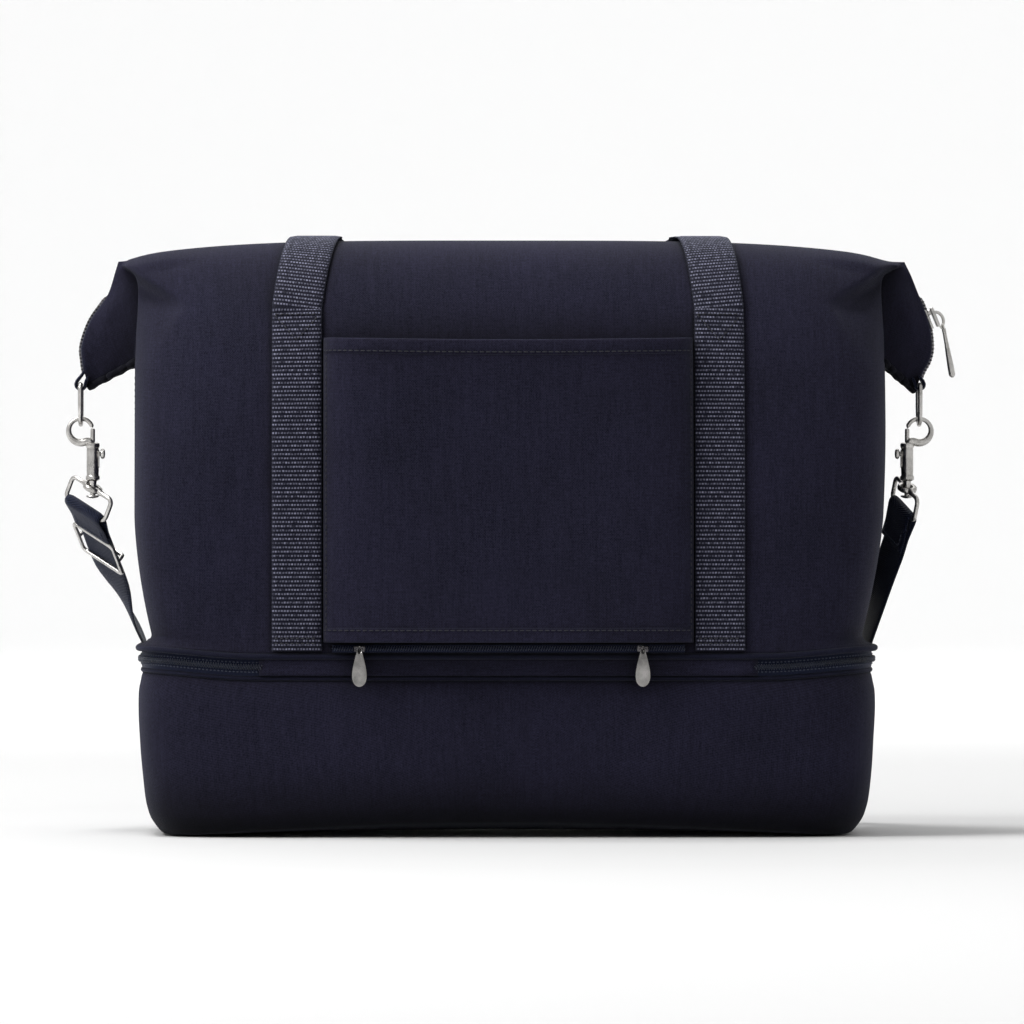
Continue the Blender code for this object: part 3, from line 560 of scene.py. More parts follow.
def ramp(tree, value, stops):
    """Colours along a value, as (place, linear colour) pairs."""
    made = node(tree, "ValToRGB", {"Fac": value})
    band = made.color_ramp
    while len(band.elements) < len(stops):
        band.elements.new(0.5)
    for element, (at, color) in zip(band.elements, stops):
        element.position = at
        element.color = (*color, 1.0)
    return made.outputs["Color"]


def new_look(name, metallic=0.0, sheen=0.0):
    made = bpy.data.materials.new(name)
    made.use_nodes = True
    tree = made.node_tree
    shader = tree.nodes["Principled BSDF"]
    shader.inputs["Metallic"].default_value = metallic
    if sheen:
        shader.inputs["Sheen Weight"].default_value = sheen
        shader.inputs["Sheen Roughness"].default_value = 0.45
        shader.inputs["Sheen Tint"].default_value = (0.62, 0.66, 0.85, 1.0)
        shader.inputs["Specular IOR Level"].default_value = 0.10
    return made, tree, shader


def wire(tree, shader, color, roughness, height, distance, strength):
    """Gives a shader its colour, its gloss and a relief that is the distance deep."""
    tree.links.new(color, shader.inputs["Base Color"])
    tree.links.new(roughness, shader.inputs["Roughness"])
    bump = node(tree, "Bump", {"Height": height, "Distance": distance, "Strength": strength})
    tree.links.new(bump.outputs["Normal"], shader.inputs["Normal"])


def span(tree, value, low, high):
    """A value from 0 to 1 as one from low to high."""
    return calc(tree, "MULTIPLY_ADD", value, high - low, low)


def woven(name, dark, light, pitch=0.00075, sheen=0.25, slub=0.5):
    """Plain-woven cloth: crossing threads, slubs along both of them, a slow change of tone and painted shade
    in hollows.
    """
    made, tree, shader = new_look(name, sheen=sheen)
    threads = node(tree, "Attribute", attribute_name="weave").outputs["Vector"]
    where = node(tree, "TexCoord").outputs["Object"]
    turn = pi / pitch
    waves = node(tree, "VectorMath", {0: threads, 1: (turn, turn, 0.0)}, operation="MULTIPLY").outputs[0]
    waves = node(tree, "VectorMath", {0: waves}, operation="SINE").outputs[0]
    split = node(tree, "SeparateXYZ", {0: waves})
    crossing = calc(tree, "MULTIPLY", split.outputs["X"], split.outputs["Y"])
    upright = grain(tree, threads, (1 / pitch, 0.10 / pitch, 0.0))
    level = grain(tree, threads, (0.10 / pitch, 1 / pitch, 0.0))
    tone = grain(tree, where, 14.0, 2.0)
    melange = grain(tree, threads, (950.0, 700.0, 0.0), 4.0, 0.80)
    streak = grain(tree, threads, (420.0, 24.0, 0.0), 3.0)
    wear = node(tree, "NewGeometry").outputs["Pointiness"]
    value = calc(tree, "MULTIPLY_ADD", crossing, 0.16, 0.45)
    changes = ((upright, slub), (level, slub), (melange, 1.3), (streak, 0.35), (tone, 0.4), (wear, 0.8))
    for other, weight in changes:
        value = calc(tree, "MULTIPLY_ADD", calc(tree, "SUBTRACT", other, 0.5), weight, value)
    color = ramp(tree, value, ((0.15, dark), (0.85, light)))
    height = calc(tree, "ADD", calc(tree, "ABSOLUTE", crossing), calc(tree, "MULTIPLY", upright, 0.7))
    # Painted shade: ambient occlusion darkens the colour in creases, folds and recesses, and lifts it a
    # little in the open
    hidden = node(tree, "AmbientOcclusion", {"Distance": 0.045}, samples=6).outputs["AO"]
    painted_shade = span(tree, calc(tree, "POWER", hidden, 2.0), 0.10, 1.18)
    color = node(tree, "VectorMath", {0: color, "Scale": painted_shade}, operation="SCALE").outputs[0]
    wire(tree, shader, color, span(tree, tone, 0.72, 0.95), height, 0.00022, 0.55)
    return made


def ribbed(name, dark, light, fleck):
    """Ribbed webbing with pale flecks along each rib, and plain edges."""
    made, tree, shader = new_look(name, sheen=0.15)
    threads = node(tree, "Attribute", attribute_name="weave").outputs["Vector"]
    where = node(tree, "TexCoord").outputs["Object"]
    split = node(tree, "SeparateXYZ", {0: threads})
    phase = calc(tree, "DIVIDE", split.outputs["Y"], RIB_PITCH)
    row = calc(tree, "MULTIPLY", calc(tree, "FLOOR", phase), 0.5)
    cell = calc(tree, "ADD", calc(tree, "DIVIDE", split.outputs["X"], 0.00175), row)
    dash = calc(tree, "ABSOLUTE", calc(tree, "SINE", calc(tree, "MULTIPLY", cell, pi)))
    dash = node(tree, "MapRange", {0: dash, 1: 0.34, 2: 0.62}).outputs[0]
    crest = calc(tree, "ABSOLUTE", calc(tree, "SINE", calc(tree, "MULTIPLY", phase, pi)))
    crest = node(tree, "MapRange", {0: crest, 1: 0.68, 2: 0.90}).outputs[0]
    inside = calc(tree, "LESS_THAN", calc(tree, "ABSOLUTE", split.outputs["X"]), 0.0144)
    change = grain(tree, threads, (420.0, 260.0, 0.0), 2.0)
    change = node(tree, "MapRange", {0: change, 1: 0.34, 2: 0.64, 3: 0.10, 4: 1.0}).outputs[0]
    amount = inside
    for other in (change, dash, crest):
        amount = calc(tree, "MULTIPLY", amount, other)
    fine = grain(tree, threads, (2600.0, 900.0, 0.0))
    ground = ramp(tree, fine, ((0.25, dark), (0.75, light)))
    blend = node(tree, "Mix", {0: amount, 6: ground, 7: (*fleck, 1.0)}, data_type="RGBA")
    height = calc(tree, "ADD", calc(tree, "MULTIPLY", dash, 0.8), fine)
    rough = span(tree, grain(tree, where, 60.0), 0.55, 0.80)
    wire(tree, shader, blend.outputs[2], rough, height, 0.00025, 0.6)
    return made


def twilled(name, dark, light, across, slope=0.5, distance=0.00018):
    """Smooth webbing or tape: fine slanting threads."""
    made, tree, shader = new_look(name, sheen=0.12)
    threads = node(tree, "Attribute", attribute_name="weave").outputs["Vector"]
    where = node(tree, "TexCoord").outputs["Object"]
    split = node(tree, "SeparateXYZ", {0: threads})
    slant = calc(tree, "MULTIPLY_ADD", calc(tree, "ABSOLUTE", split.outputs["X"]), slope, split.outputs["Y"])
    lines = calc(tree, "SINE", calc(tree, "MULTIPLY", slant, tau / across))
    cross = calc(tree, "SINE", calc(tree, "MULTIPLY", split.outputs["X"], tau / across))
    pattern = calc(tree, "MULTIPLY_ADD", cross, 0.4, lines)
    fine = grain(tree, threads, (1800.0, 500.0, 0.0))
    value = calc(tree, "MULTIPLY_ADD", pattern, 0.14, fine)
    color = ramp(tree, value, ((0.25, dark), (0.80, light)))
    rough = span(tree, grain(tree, where, 80.0), 0.45, 0.70)
    wire(tree, shader, color, rough, pattern, distance, 0.5)
    return made


def metal(name, dark, light, rough_low, rough_high):
    """Plated metal: satin, with faint streaks, cloudy gloss and duller edges."""
    made, tree, shader = new_look(name, metallic=1.0)
    where = node(tree, "TexCoord").outputs["Object"]
    cloud = grain(tree, where, 140.0, 4.0)
    streak = grain(tree, where, (2600.0, 2600.0, 240.0), 2.0)
    wear = node(tree, "NewGeometry").outputs["Pointiness"]
    value = calc(tree, "MULTIPLY_ADD", calc(tree, "SUBTRACT", wear, 0.5), 1.2, cloud)
    color = ramp(tree, value, ((0.25, dark), (0.70, light)))
    gloss = calc(tree, "MULTIPLY_ADD", streak, 0.4, calc(tree, "MULTIPLY", cloud, 0.6))
    rough = span(tree, gloss, rough_low, rough_high)
    wire(tree, shader, color, rough, calc(tree, "ADD", streak, cloud), 0.00004, 0.35)
    return made


def moulded(name, dark, light, rough_low, rough_high, scale=220.0, distance=0.00005):
    """Nylon, thread or board: a speckled solid colour with a slightly uneven gloss."""
    made, tree, shader = new_look(name)
    where = node(tree, "TexCoord").outputs["Object"]
    speck = grain(tree, where, scale, 4.0)
    broad = grain(tree, where, scale / 8, 2.0)
    value = calc(tree, "MULTIPLY_ADD", broad, 0.4, calc(tree, "MULTIPLY", speck, 0.6))
    color = ramp(tree, value, ((0.3, dark), (0.7, light)))
    wire(tree, shader, color, span(tree, speck, rough_low, rough_high), speck, distance, 0.5)
    return made


CANVAS = woven("navy_canvas", (0.0012, 0.0011, 0.0048), (0.0172, 0.0162, 0.0340), sheen=0.06)
PIPING = woven("piping_cloth", (0.0015, 0.0018, 0.0065), (0.0095, 0.0100, 0.0230), sheen=0.08, slub=0.35)
BINDING = woven("ear_binding", (0.0015, 0.0015, 0.0038), (0.0075, 0.0075, 0.0130), sheen=0.06, slub=0.35)
LINING = woven("lining_cloth", (0.020, 0.022, 0.030), (0.050, 0.054, 0.070), 0.0006, 0.1, 0.3)
WEBBING = ribbed("flecked_webbing", (0.0012, 0.0012, 0.0052), (0.0042, 0.0043, 0.0130), (0.170, 0.172, 0.240))
STRAP = twilled("strap_webbing_look", (0.0014, 0.0024, 0.0085), (0.0090, 0.0125, 0.0330), 0.0014, 0.5, 0.0004)
TAPE = twilled("zip_tape_look", (0.0020, 0.0032, 0.0110), (0.0085, 0.0120, 0.0330), across=0.0008)
NICKEL = metal("satin_nickel", (0.33, 0.320, 0.305), (0.62, 0.605, 0.585), 0.20, 0.36)
# A darker copy of the satin nickel for the pulls: painted shade for the dimmer reflections they catch
PULL_METAL = metal("dark_nickel", (0.15, 0.146, 0.142), (0.36, 0.35, 0.34), 0.16, 0.30)
TEETH = metal("zip_metal", (0.020, 0.020, 0.024), (0.22, 0.21, 0.22), 0.18, 0.36)
COIL = moulded("coil_nylon", (0.003, 0.005, 0.013), (0.014, 0.020, 0.042), 0.25, 0.40)
THREAD = moulded("navy_thread", (0.0010, 0.0012, 0.004), (0.006, 0.0065, 0.016), 0.50, 0.75, 2400.0)
PALE_THREAD = moulded("grey_thread", (0.014, 0.019, 0.035), (0.055, 0.065, 0.10), 0.50, 0.75, 2400.0)
BOARD = moulded("stiffener_look", (0.030, 0.031, 0.036), (0.060, 0.061, 0.068), 0.50, 0.75, 900.0, 0.0001)


# The body: two halves that meet along the top, down the ears and along the side seams

EAR_LOW = 0.2814  # where the ears fold back to the body
EAR_TOP = 0.3440
EAR_SHARE = (EAR_LOW - BODY_Z) / (EAR_TOP - BODY_Z)
CREST_SHARE = 0.99998
# From the top down: how far from the middle of the bag, the depth and the height. The ridge is the
# fold between a long face and the ear, and the valley is the hollow behind it
RIDGE = (
    (0.2350, 0.0068, 0.3443),
    (0.2245, 0.0270, 0.3360),
    (0.2212, 0.0330, 0.3250),
    (0.2216, 0.0290, 0.3000),
    (0.2219, 0.0260, EAR_LOW),
)
VALLEY = (
    (0.2355, 0.0052, 0.3440),
    (0.2225, 0.0110, 0.3330),
    (0.2195, 0.0150, 0.3200),
    (0.2210, 0.0170, 0.3030),
    (0.2226, 0.0150, EAR_LOW),
)
# A soft fold runs in from each top corner, and the face drops below it and comes back
CREASE = (Vector((0.2335, 0.3440)), Vector((0.1900, 0.3130)))
CREASE_DEEP = 0.0360
CREASE_LEDGE = 0.007
CREASE_REACH = 0.016
CORNER_Z = 0.334  # above this the folds of a top corner run together
CORNER_HIGH = 0.010
CORNER_DROP = 0.0016
RIGHT_WIDER = 0.0045  # the right end of the body stands out this much further
# The ear's outer edge: how far out, half the gap that the zip closes, and the height
EAR_EDGE = {
    "left": (
        (0.2328, 0.0040, EAR_TOP),
        (0.2388, 0.0060, 0.3230),
        (0.2492, 0.0075, 0.3070),
        (0.2545, 0.0080, 0.2920),
        (0.2541, 0.0075, 0.2830),
        (0.2532, 0.0060, 0.2765),
        (0.2508, 0.0018, 0.2664),
    ),
    "right": (
        (0.2400, 0.0040, EAR_TOP),
        (0.2482, 0.0060, 0.3230),
        (0.2541, 0.0075, 0.3070),
        (0.2561, 0.0080, 0.2920),
        (0.2545, 0.0075, 0.2830),
        (0.2510, 0.0060, 0.2765),
        (0.2462, 0.0018, 0.2644),
    ),
}
FACE_STEPS = 54
STRIP_STEPS = 7
WING_STEPS = 12


def softened(line):
    """A line from the top down, through its points."""
    fine = curve_through(line, 8)
    return sorted(fine, key=lambda p: -p[2])


RIDGE_LINE = softened(RIDGE)
VALLEY_LINE = softened(VALLEY)
EDGE_LINE = {side: softened(line) for side, line in EAR_EDGE.items()}


def fold_depth(x, z):
    """How deep the soft hollow below the fold from each top corner is at a place on a face."""
    way = CREASE[1] - CREASE[0]
    reach = way.length
    way /= reach
    off = Vector((x, z)) - CREASE[0]
    share = off.dot(way) / reach
    below = off.x * -way.y + off.y * way.x
    if share < 0 or share > 1 or below < 0:
        return 0.0
    along = (1 - share) ** 0.7 * smooth(share / 0.08)
    return CREASE_DEEP * along * smooth(below / CREASE_LEDGE) * exp(-below / CREASE_REACH)


def half_row(share, side):
    """One row of a body half, from the middle of the face out to the ear's edge or the side seam.
    Points are (distance from the middle, depth, height), all positive."""
    z = BODY_Z + (EAR_TOP - BODY_Z) * share
    n = squareness_at(share)
    wider = RIGHT_WIDER * smooth(share / 0.6) if side == "right" else 0.0
    width = width_at(share) + wider
    depth = max(depth_at(share), CREST_HALF)

    def on_face(x):
        return depth * rounded(x / width, n)

    def on_side(y):
        return width * rounded(y / depth, n)

    rise = clamp((share - EAR_SHARE) / (1 - EAR_SHARE))
    above = share >= EAR_SHARE - 1e-6
    if above:
        ridge = at_height(RIDGE_LINE, z)
        valley = at_height(VALLEY_LINE, z)
        edge_z = mix(EAR_EDGE[side][-1][2], EAR_TOP, rise)
        edge = at_height(EDGE_LINE[side], edge_z)
        corner = smooth((z - CORNER_Z) / CORNER_HIGH)
        ridge = (mix(ridge[0] + wider, edge[0] - 0.0060, corner), ridge[1])
        valley = (mix(valley[0] + wider, edge[0] - 0.0030, corner), valley[1])
    else:
        fade = smooth(share / EAR_SHARE)
        ridge_y = min(0.026, depth * 0.9)
        valley_y = mix(0.004, 0.015, fade**2)
        ridge = (on_side(ridge_y), ridge_y)
        valley = (on_side(valley_y), valley_y)
        edge = (on_side(0.0), 0.0004)
        edge_z = z
    ridge_y = min(ridge[1], depth * 0.96)
    last_x = on_side(ridge_y)
    bend_x = min(last_x, 0.85 * width)
    # The face, from its middle and round to the ridge
    steps = 40
    fine = [Vector((x, on_face(x), 0)) for x in (bend_x * i / steps for i in range(steps + 1))]
    for i in range(1, steps + 1):
        y = mix(on_face(bend_x), ridge_y, i / steps)
        fine.append(Vector((max(on_side(y), bend_x), y, 0)))
    row = even(fine, FACE_STEPS)
    shift = Vector((ridge[0], ridge[1], 0)) - row[-1]
    sunk = fold_depth(ridge[0], z) if above else 0.0
    for i, point in enumerate(row):
        point += shift * smooth((i / FACE_STEPS - 0.55) / 0.45)
        wave = sag(point.x if side == "right" else -point.x, z)
        point.y += wave * clamp((0.19 - point.x) / 0.03) - fold_depth(point.x, z)
        lean = clamp((point.x - 0.205) / 0.028) ** 2 if share > 0.97 else smooth((point.x - 0.18) / 0.04)
        face_z = BODY_Z + (top_at(point.x) - BODY_Z) * share
        point.z = mix(face_z, z, lean)
    # The hollow strip from the ridge to the valley
    for i in range(1, STRIP_STEPS + 1):
        t = i / STRIP_STEPS
        x, y = mix(ridge[0], valley[0], t), mix(ridge[1] - sunk, valley[1], t)
        if above:
            x -= 0.004 * sin(pi * t) * smooth((z - 0.296) / 0.012) * smooth((0.343 - z) / 0.014)
        else:
            x = on_side(y)
        row.append(Vector((x, y, z)))
    # The ear out to its edge, or the side in to its seam
    for i in range(1, WING_STEPS + 1):
        t = i / WING_STEPS
        y = mix(valley[1], edge[1], t)
        x = mix(valley[0], edge[0], t) if above else on_side(y)
        if above:
            belly = sin(pi * t) * smooth((0.345 - z) / 0.03)
            y += belly * (0.0035 * rise + 0.0012 * noise.noise(Vector((x * 60, z * 60, 1.7))))
            pinch = smooth((0.12 - rise) / 0.12) * sin(pi * t)
            y += pinch * 0.0012 * sin(t * 30)
        row.append(Vector((x, y, mix(z, edge_z, t))))
    # The top corners droop, and the lower edge follows the zip band
    for point in row:
        near_top = smooth((point.z - CORNER_Z) / CORNER_HIGH)
        point.z -= CORNER_DROP * near_top * smooth((point.x - 0.216) / 0.018)
        point.z += band_rise(point.x) * (1 - share) ** 8
    return row


def body_shares():
    """The rows' height shares: evenly spaced round the profile, with the ears' lower edge among them."""
    fine = []
    for i in range(401):
        share = CREST_SHARE * (i / 400) ** 0.8
        fine.append(Vector((depth_at(share), share * 0.25, share)))
    shares = [p.z for p in even(fine, 110)]
    shares[1:1] = [0.003, 0.008]
    near = min(range(len(shares)), key=lambda k: abs(shares[k] - EAR_SHARE))
    shares[near] = EAR_SHARE
    shares[near - 1] = EAR_SHARE - 0.003
    return shares


def build_body():
    for word, hand, ear in (("rear", -1, "left_ear"), ("front", 1, "right_ear")):
        rows = []
        for share in body_shares():
            left = [Vector((-p.x, hand * p.y, p.z)) for p in half_row(share, "left")]
            right = [Vector((p.x, hand * p.y, p.z)) for p in half_row(share, "right")]
            rows.append(left[:0:-1] + right)
        piece = sheet(f"{word}_body_cloth", rows, CANVAS, flipped=hand > 0, middle=True)
        thicken(subdivide(piece), CLOTH_THICK, LINING)
        place(piece, "upper_body", "canvas", f"{word}_panel", ear)
    halves = ((-1, "rear"), (1, "front"))
    ends = [(side, sign, hand, word) for side, (sign, _) in SIDES.items() for hand, word in halves]
    for side, sign, hand, word in ends:
        row = half_row(EAR_SHARE, side)[FACE_STEPS + STRIP_STEPS - 1:]
        line = [Vector((sign * p.x, hand * p.y, p.z + 0.0006)) for p in row]

        def swell(share):
            return 0.0021 + 0.0006 * noise.noise(Vector((share * 7, sign, hand)))

        hem = sweep(f"{side}_ear_hem_{word}", even(line, 40), swell, BINDING, sides=12)
        place(hem, "upper_body", "canvas")
    for side, sign, hand, word in ends:
        seam = []
        for share in body_shares():
            if share > EAR_SHARE - 0.02:
                break
            point = half_row(share, side)[-1]
            seam.append(Vector((sign * (point.x + 0.0002), hand * 0.0030, point.z)))
        stitches = stitch_row(seam, [(sign, 0, 0)] * len(seam), SEAM_STITCH)
        place(stitching(f"side_seam_stitches_{side}_{word}", stitches, THREAD), "upper_body", "canvas")


# The base compartment

# Up the base: the height, half the width and half the depth
BASE_LEVELS = (
    (0.0000, 0.1990, 0.0810),
    (0.0002, 0.2035, 0.0860),
    (0.0010, 0.2065, 0.0892),
    (0.0036, 0.2094, 0.0915),
    (0.0096, 0.2136, 0.0945),
    (0.0157, 0.2157, 0.0960),
    (0.0217, 0.2169, 0.0972),
    (0.0337, 0.2182, 0.0985),
    (0.0457, 0.2194, 0.0992),
    (0.0580, 0.2202, 0.0998),
    (0.0700, 0.2208, 0.1002),
    (0.0820, 0.2207, 0.1001),
    (0.0875, 0.2196, 0.0993),
    (0.0905, 0.2190, 0.0985),
    (BASE_TOP + 0.0002, 0.2183, 0.0973),
)


def arch_at(x, y):
    """How far the underside is lifted between the bag's two ends."""
    return ARCH * clamp(1 - abs(x / 0.196) ** 1.7) * (0.20 + 0.80 * abs(y / HALF_DEPTH) ** 3)


def base_point(level, angle):
    z, half_width, half_depth = level
    x, y = rim_point(angle, half_width - 0.0010, half_depth)
    arch = arch_at(x, y) * clamp(1 - z / 0.070) ** 1.5
    stand = clamp(z / 0.02) * clamp((0.092 - z) / 0.02)
    spot = Vector((x * 11, z * 12, 9.0 + y * 9))
    wave = stand * (0.0014 * noise.noise(spot) + 0.0005 * noise.noise(spot * 3.1))
    out = Vector((x, y * 2.2, 0)).normalized()
    return Vector((x, y, z + arch + band_rise(x) * (z / BASE_TOP) ** 3)) + out * wave


def even_angles(count):
    """Angles that space the outline's points evenly, from the right end and all the way round."""
    fine = 2000
    reach = distances([Vector((*rim_point(-pi / 2 - tau * i / fine), 0)) for i in range(fine + 1)])
    angles = []
    for k, share in walk(reach, [reach[-1] * i / count for i in range(count)]):
        angles.append(-pi / 2 - tau * (k + share) / fine)
    start = max(range(count), key=lambda i: cos(angles[i]))
    return angles[start:] + angles[:start]


def build_base():
    angles = even_angles(300)
    _, half_width, half_depth = BASE_LEVELS[0]
    levels = [(0.0, half_width * s, half_depth * s) for s in (0.0005, 0.25, 0.5, 0.75, 0.92)]
    levels += curve_through(BASE_LEVELS, 3)
    rows = [[base_point(level, angle) for angle in angles] for level in levels]
    cloth = sheet("base_cloth", rows, CANVAS, looped=True, flipped=True)
    thicken(subdivide(cloth), CLOTH_THICK, LINING)
    place(cloth, "base", "canvas", "base_wall", "base_bottom_panel")
    for node_name, body, z, offset, radius in (
        ("lower_piping", "base", BASE_TOP + GAP + 0.0015, -0.0030, 0.0016),
        ("upper_piping", "upper_body", UPPER_PIPING_Z + 0.0018, -0.0002, 0.0019),
    ):
        line = on_band(outline(offset, 400), z)
        roll = sweep(node_name + "_cloth", line, radius, PIPING, closed=True, sides=12)
        place(roll, body, "canvas", node_name)


COIL_PITCH = 0.0015
COIL_SIDES = 7  # points to each turn of a coil


def build_band_zip():
    """The zip between the base and the body: a tape, a coil and a row of stitches for each half."""
    meeting = UPPER_TAPE_Z - GAP / 2
    for half, body, hand in (("lower", "base", -1), ("upper", "upper_body", 1)):
        rows = []
        for share in (0.0, 0.25, 0.5, 0.75, 1.0):
            away = share if hand > 0 else 1 - share  # from the coil
            offset = mix(-0.0016, -0.0032, away**2)
            ends = (meeting + 0.0001, UPPER_PIPING_Z + 0.0030)
            if hand < 0:
                ends = (LOWER_TAPE_Z - 0.0032, meeting - 0.0001)
            z = mix(*ends, share)
            rows.append(on_band(part_outline(offset, 320), z))
        tape = sheet(f"{half}_tape", rows, TAPE, flipped=True)
        thicken(tape, TAPE_THICK)
        place(tape, body, "zip_tape", f"{half}_zip_tape")
        path = part_outline(-0.0010, 9000)
        reach = distances(path)
        steps = round(reach[-1] / COIL_PITCH) * COIL_SIDES
        last = len(path) - 1
        line = []
        for i in range(steps + 1):
            at = min(last, round(last * i / steps))
            p = path[at]
            way = (path[min(at + 1, last)] - path[max(at - 1, 0)]).normalized()
            out = Vector((way.y, -way.x, 0))
            out = out if out.dot(Vector((p.x, p.y * 2, 0))) > 0 else -out
            angle = tau * i / COIL_SIDES + (0 if hand > 0 else pi)
            centre = Vector((p.x, p.y, meeting + hand * 0.0006 + band_rise(p.x)))
            line.append(centre + out * (0.0002 + 0.0008 * cos(angle)) + Vector((0, 0, 0.0010 * sin(angle))))
        coil = sweep(f"{half}_coil", line, 0.00032, COIL, sides=5)
        place(coil, body, "zip_tape")
        z = meeting + hand * 0.0028
        row = on_band(part_outline(-0.0018, 500), z)
        ups = [Vector((p.x, p.y * 2, 0)).normalized() for p in row]
        stitches = stitch_row(row, ups, TAPE_STITCH)
        place(stitching(f"{half}_tape_stitches", stitches, PALE_THREAD), body, "zip_tape")
    low = LOWER_TAPE_Z - 0.0008
    high = UPPER_PIPING_Z + 0.0008
    stations = []
    for i in range(61):
        x = (STRIP_HALF + 0.0003) * (i / 30 - 1)
        edge = HALF_DEPTH * rounded(x / HALF_WIDTH, CORNER_POWER)
        stations.append(((x, -edge + 0.0008, (low + high) / 2 + band_rise(x)), (0, 0, 1)))
    strip = ribbon("hinge_strip_cloth", stations, CANVAS, width=high - low, thick=0.0012, lanes=10)
    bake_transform(strip)
    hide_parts("zip_hinge_strip")


def build_divider():
    rows = []
    z = UPPER_PIPING_Z + 0.0015
    for s in (0.0005, 0.3, 0.6, 0.85, 1.0):
        row = []
        for p in outline(-0.0030, 240):
            row.append(Vector((p.x * s, p.y * s, z - 0.0012 * (1 - s) + band_rise(p.x) * s**8)))
        rows.append(row)
    panel = sheet("divider_cloth", rows, LINING, looped=True, flipped=True)
    place(thicken(panel, CLOTH_THICK), "upper_body", "canvas", "divider_panel")
    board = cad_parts["divider_board"]
    board.data.materials.clear()
    board.data.materials.append(BOARD)
    rows = []
    for s in (0.0005, 0.2, 0.4, 0.6, 0.8, 1.0):
        row = [(p.x * s * 0.90, p.y * s * 0.82) for p in outline(0.0, 240)]
        rows.append([Vector((x, y, 0.0052 + arch_at(x, y))) for x, y in row])
    stiffener = sheet("base_stiffener", rows, BOARD, looped=True)
    place(thicken(stiffener, 0.0020), "base", "stiffener", "base_board")


# The zip along the top and down the ears


def top_zip_line():
    """Along the top zip from the tip of one ear to the other. Each point holds the distance from the
    middle, half the gap between the two panels there, and the height."""
    halves = []
    for side, (sign, _) in SIDES.items():
        line = [Vector((p.x, p.y, p.z)) for p in half_row(CREST_SHARE, side)]
        for i in range(1, 60):
            share = mix(CREST_SHARE, EAR_SHARE + 0.030, i / 59)
            line.append(half_row(share, side)[-1])
        halves.append([Vector((sign * p.x, p.y, p.z)) for p in line])
    return even(halves[0][::-1] + halves[1][1:], 620)


def zip_sunk(z):
    """1 along the top, where the panels' edges hide the zip, and 0 down the ears."""
    return smooth((z - 0.318) / 0.008)


def build_top_zip():
    line = top_zip_line()
    rows = []
    ups = []
    for i, point in enumerate(line):
        way = line[min(i + 2, len(line) - 1)] - line[max(i - 2, 0)]
        way = Vector((way.x, 0, way.z)).normalized()
        out = Vector((-way.z, 0, way.x))
        ups.append(out)
        middle = Vector((point.x, 0, point.z)) + out * mix(0.0014, -0.0016, zip_sunk(point.z))
        half = point.y + 0.0004
        rows.append([
            middle + Vector((0, half * s, 0)) - out * (0.0008 + 0.0022 * abs(s) ** 3)
            for s in (-1, -0.75, -0.5, -0.25, 0, 0.25, 0.5, 0.75, 1)
        ])
    tape = sheet("top_zip_tape", rows, TAPE, flipped=True)
    place(thicken(tape, TAPE_THICK), "upper_body", "metal_zip", "main_zip", "left_zip_end", "right_zip_end")
    flat = [Vector((p.x, 0, p.z)) for p in line]
    reach = distances(flat)
    count = int(reach[-1] / 0.0011)
    points = []
    faces = []
    for i, (k, share) in enumerate(walk(reach, [reach[-1] * (i + 0.5) / count for i in range(count)])):
        middle = flat[k].lerp(flat[k + 1], share)
        out = ups[k]
        middle += out * mix(0.0010, -0.0022, zip_sunk(middle.z))
        way = Vector((out.z, 0, -out.x))
        hand = 1 if i % 2 else -1
        start = len(points)
        for long, wide, tall in ((0.00062, 1.0, -0.0006), (0.00062, 1.0, 0.0004), (0.00036, 0.86, 0.0009)):
            for a, b in ((-1, -1), (1, -1), (1, 1), (-1, 1)):
                y = hand * (0.0010 + b * 0.00155 * wide)
                points.append(middle + way * a * long + Vector((0, y, 0)) + out * tall)
        faces += tube_faces(3, 4, start=start)
    row = add_mesh("top_zip_teeth", points, faces, TEETH)
    place(crease(row, 35), "upper_body", "metal_zip")


# Webbing and the handles

RIB = 0.00028  # the height of the ribs
RIB_STEP = 0.000625  # a quarter of their pitch
RISER_LOW = 0.3116  # where the rear handle leaves the face
FRONT_SEWN = 0.3030  # and the top of the webbing on the front


def webbing_run(name, stations):
    """A length of the ribbed webbing."""
    return ribbon(name, stations, WEBBING, rib=RIB, step=RIB_STEP)


def sewn_stations(x, side, top):
    """Up a face, from the zip band to where the webbing leaves it."""
    steps = 40
    low = BODY_Z + 0.0012
    stations = []
    for i in range(steps + 1):
        z = mix(low, top, i / steps)
        middle = face_point(x, z, side, WEB_LIFT)
        way = face_point(x + 0.010, z, side) - face_point(x - 0.010, z, side)
        stations.append((middle, way))
    return stations


def riser_stations(sign):
    """Over the shoulder and up to the crest, leaning in."""
    stations = []
    steps = 30
    lean = 0.1130 if sign < 0 else 0.1160
    first = asin(((RISER_LOW - BODY_Z) / (top_at(HANDLE_X) - BODY_Z)) ** (SHOULDER_POWER / 2))
    for i in range(steps + 1):
        rise = mix(first, pi / 2, i / steps)
        share = clamp((rise - first) / (pi / 2 - first))
        x = sign * mix(HANDLE_X, lean, share)
        z = BODY_Z + (top_at(x) - BODY_Z) * sin(rise) ** (2 / SHOULDER_POWER)
        lift = mix(WEB_LIFT, 0.0026, min(1.0, 3 * share))
        height = clamp((z - BODY_Z) / (top_at(x) - BODY_Z))
        y = -depth_at(height) * rounded(x / cad_width_at(height), squareness_at(height))
        tilt = cos(rise) ** 1.2
        out = Vector((0, -tilt, (1 - tilt**2) ** 0.5))
        stations.append((Vector((x, y, z)) + out * lift, (1, 0, 0)))
    return stations


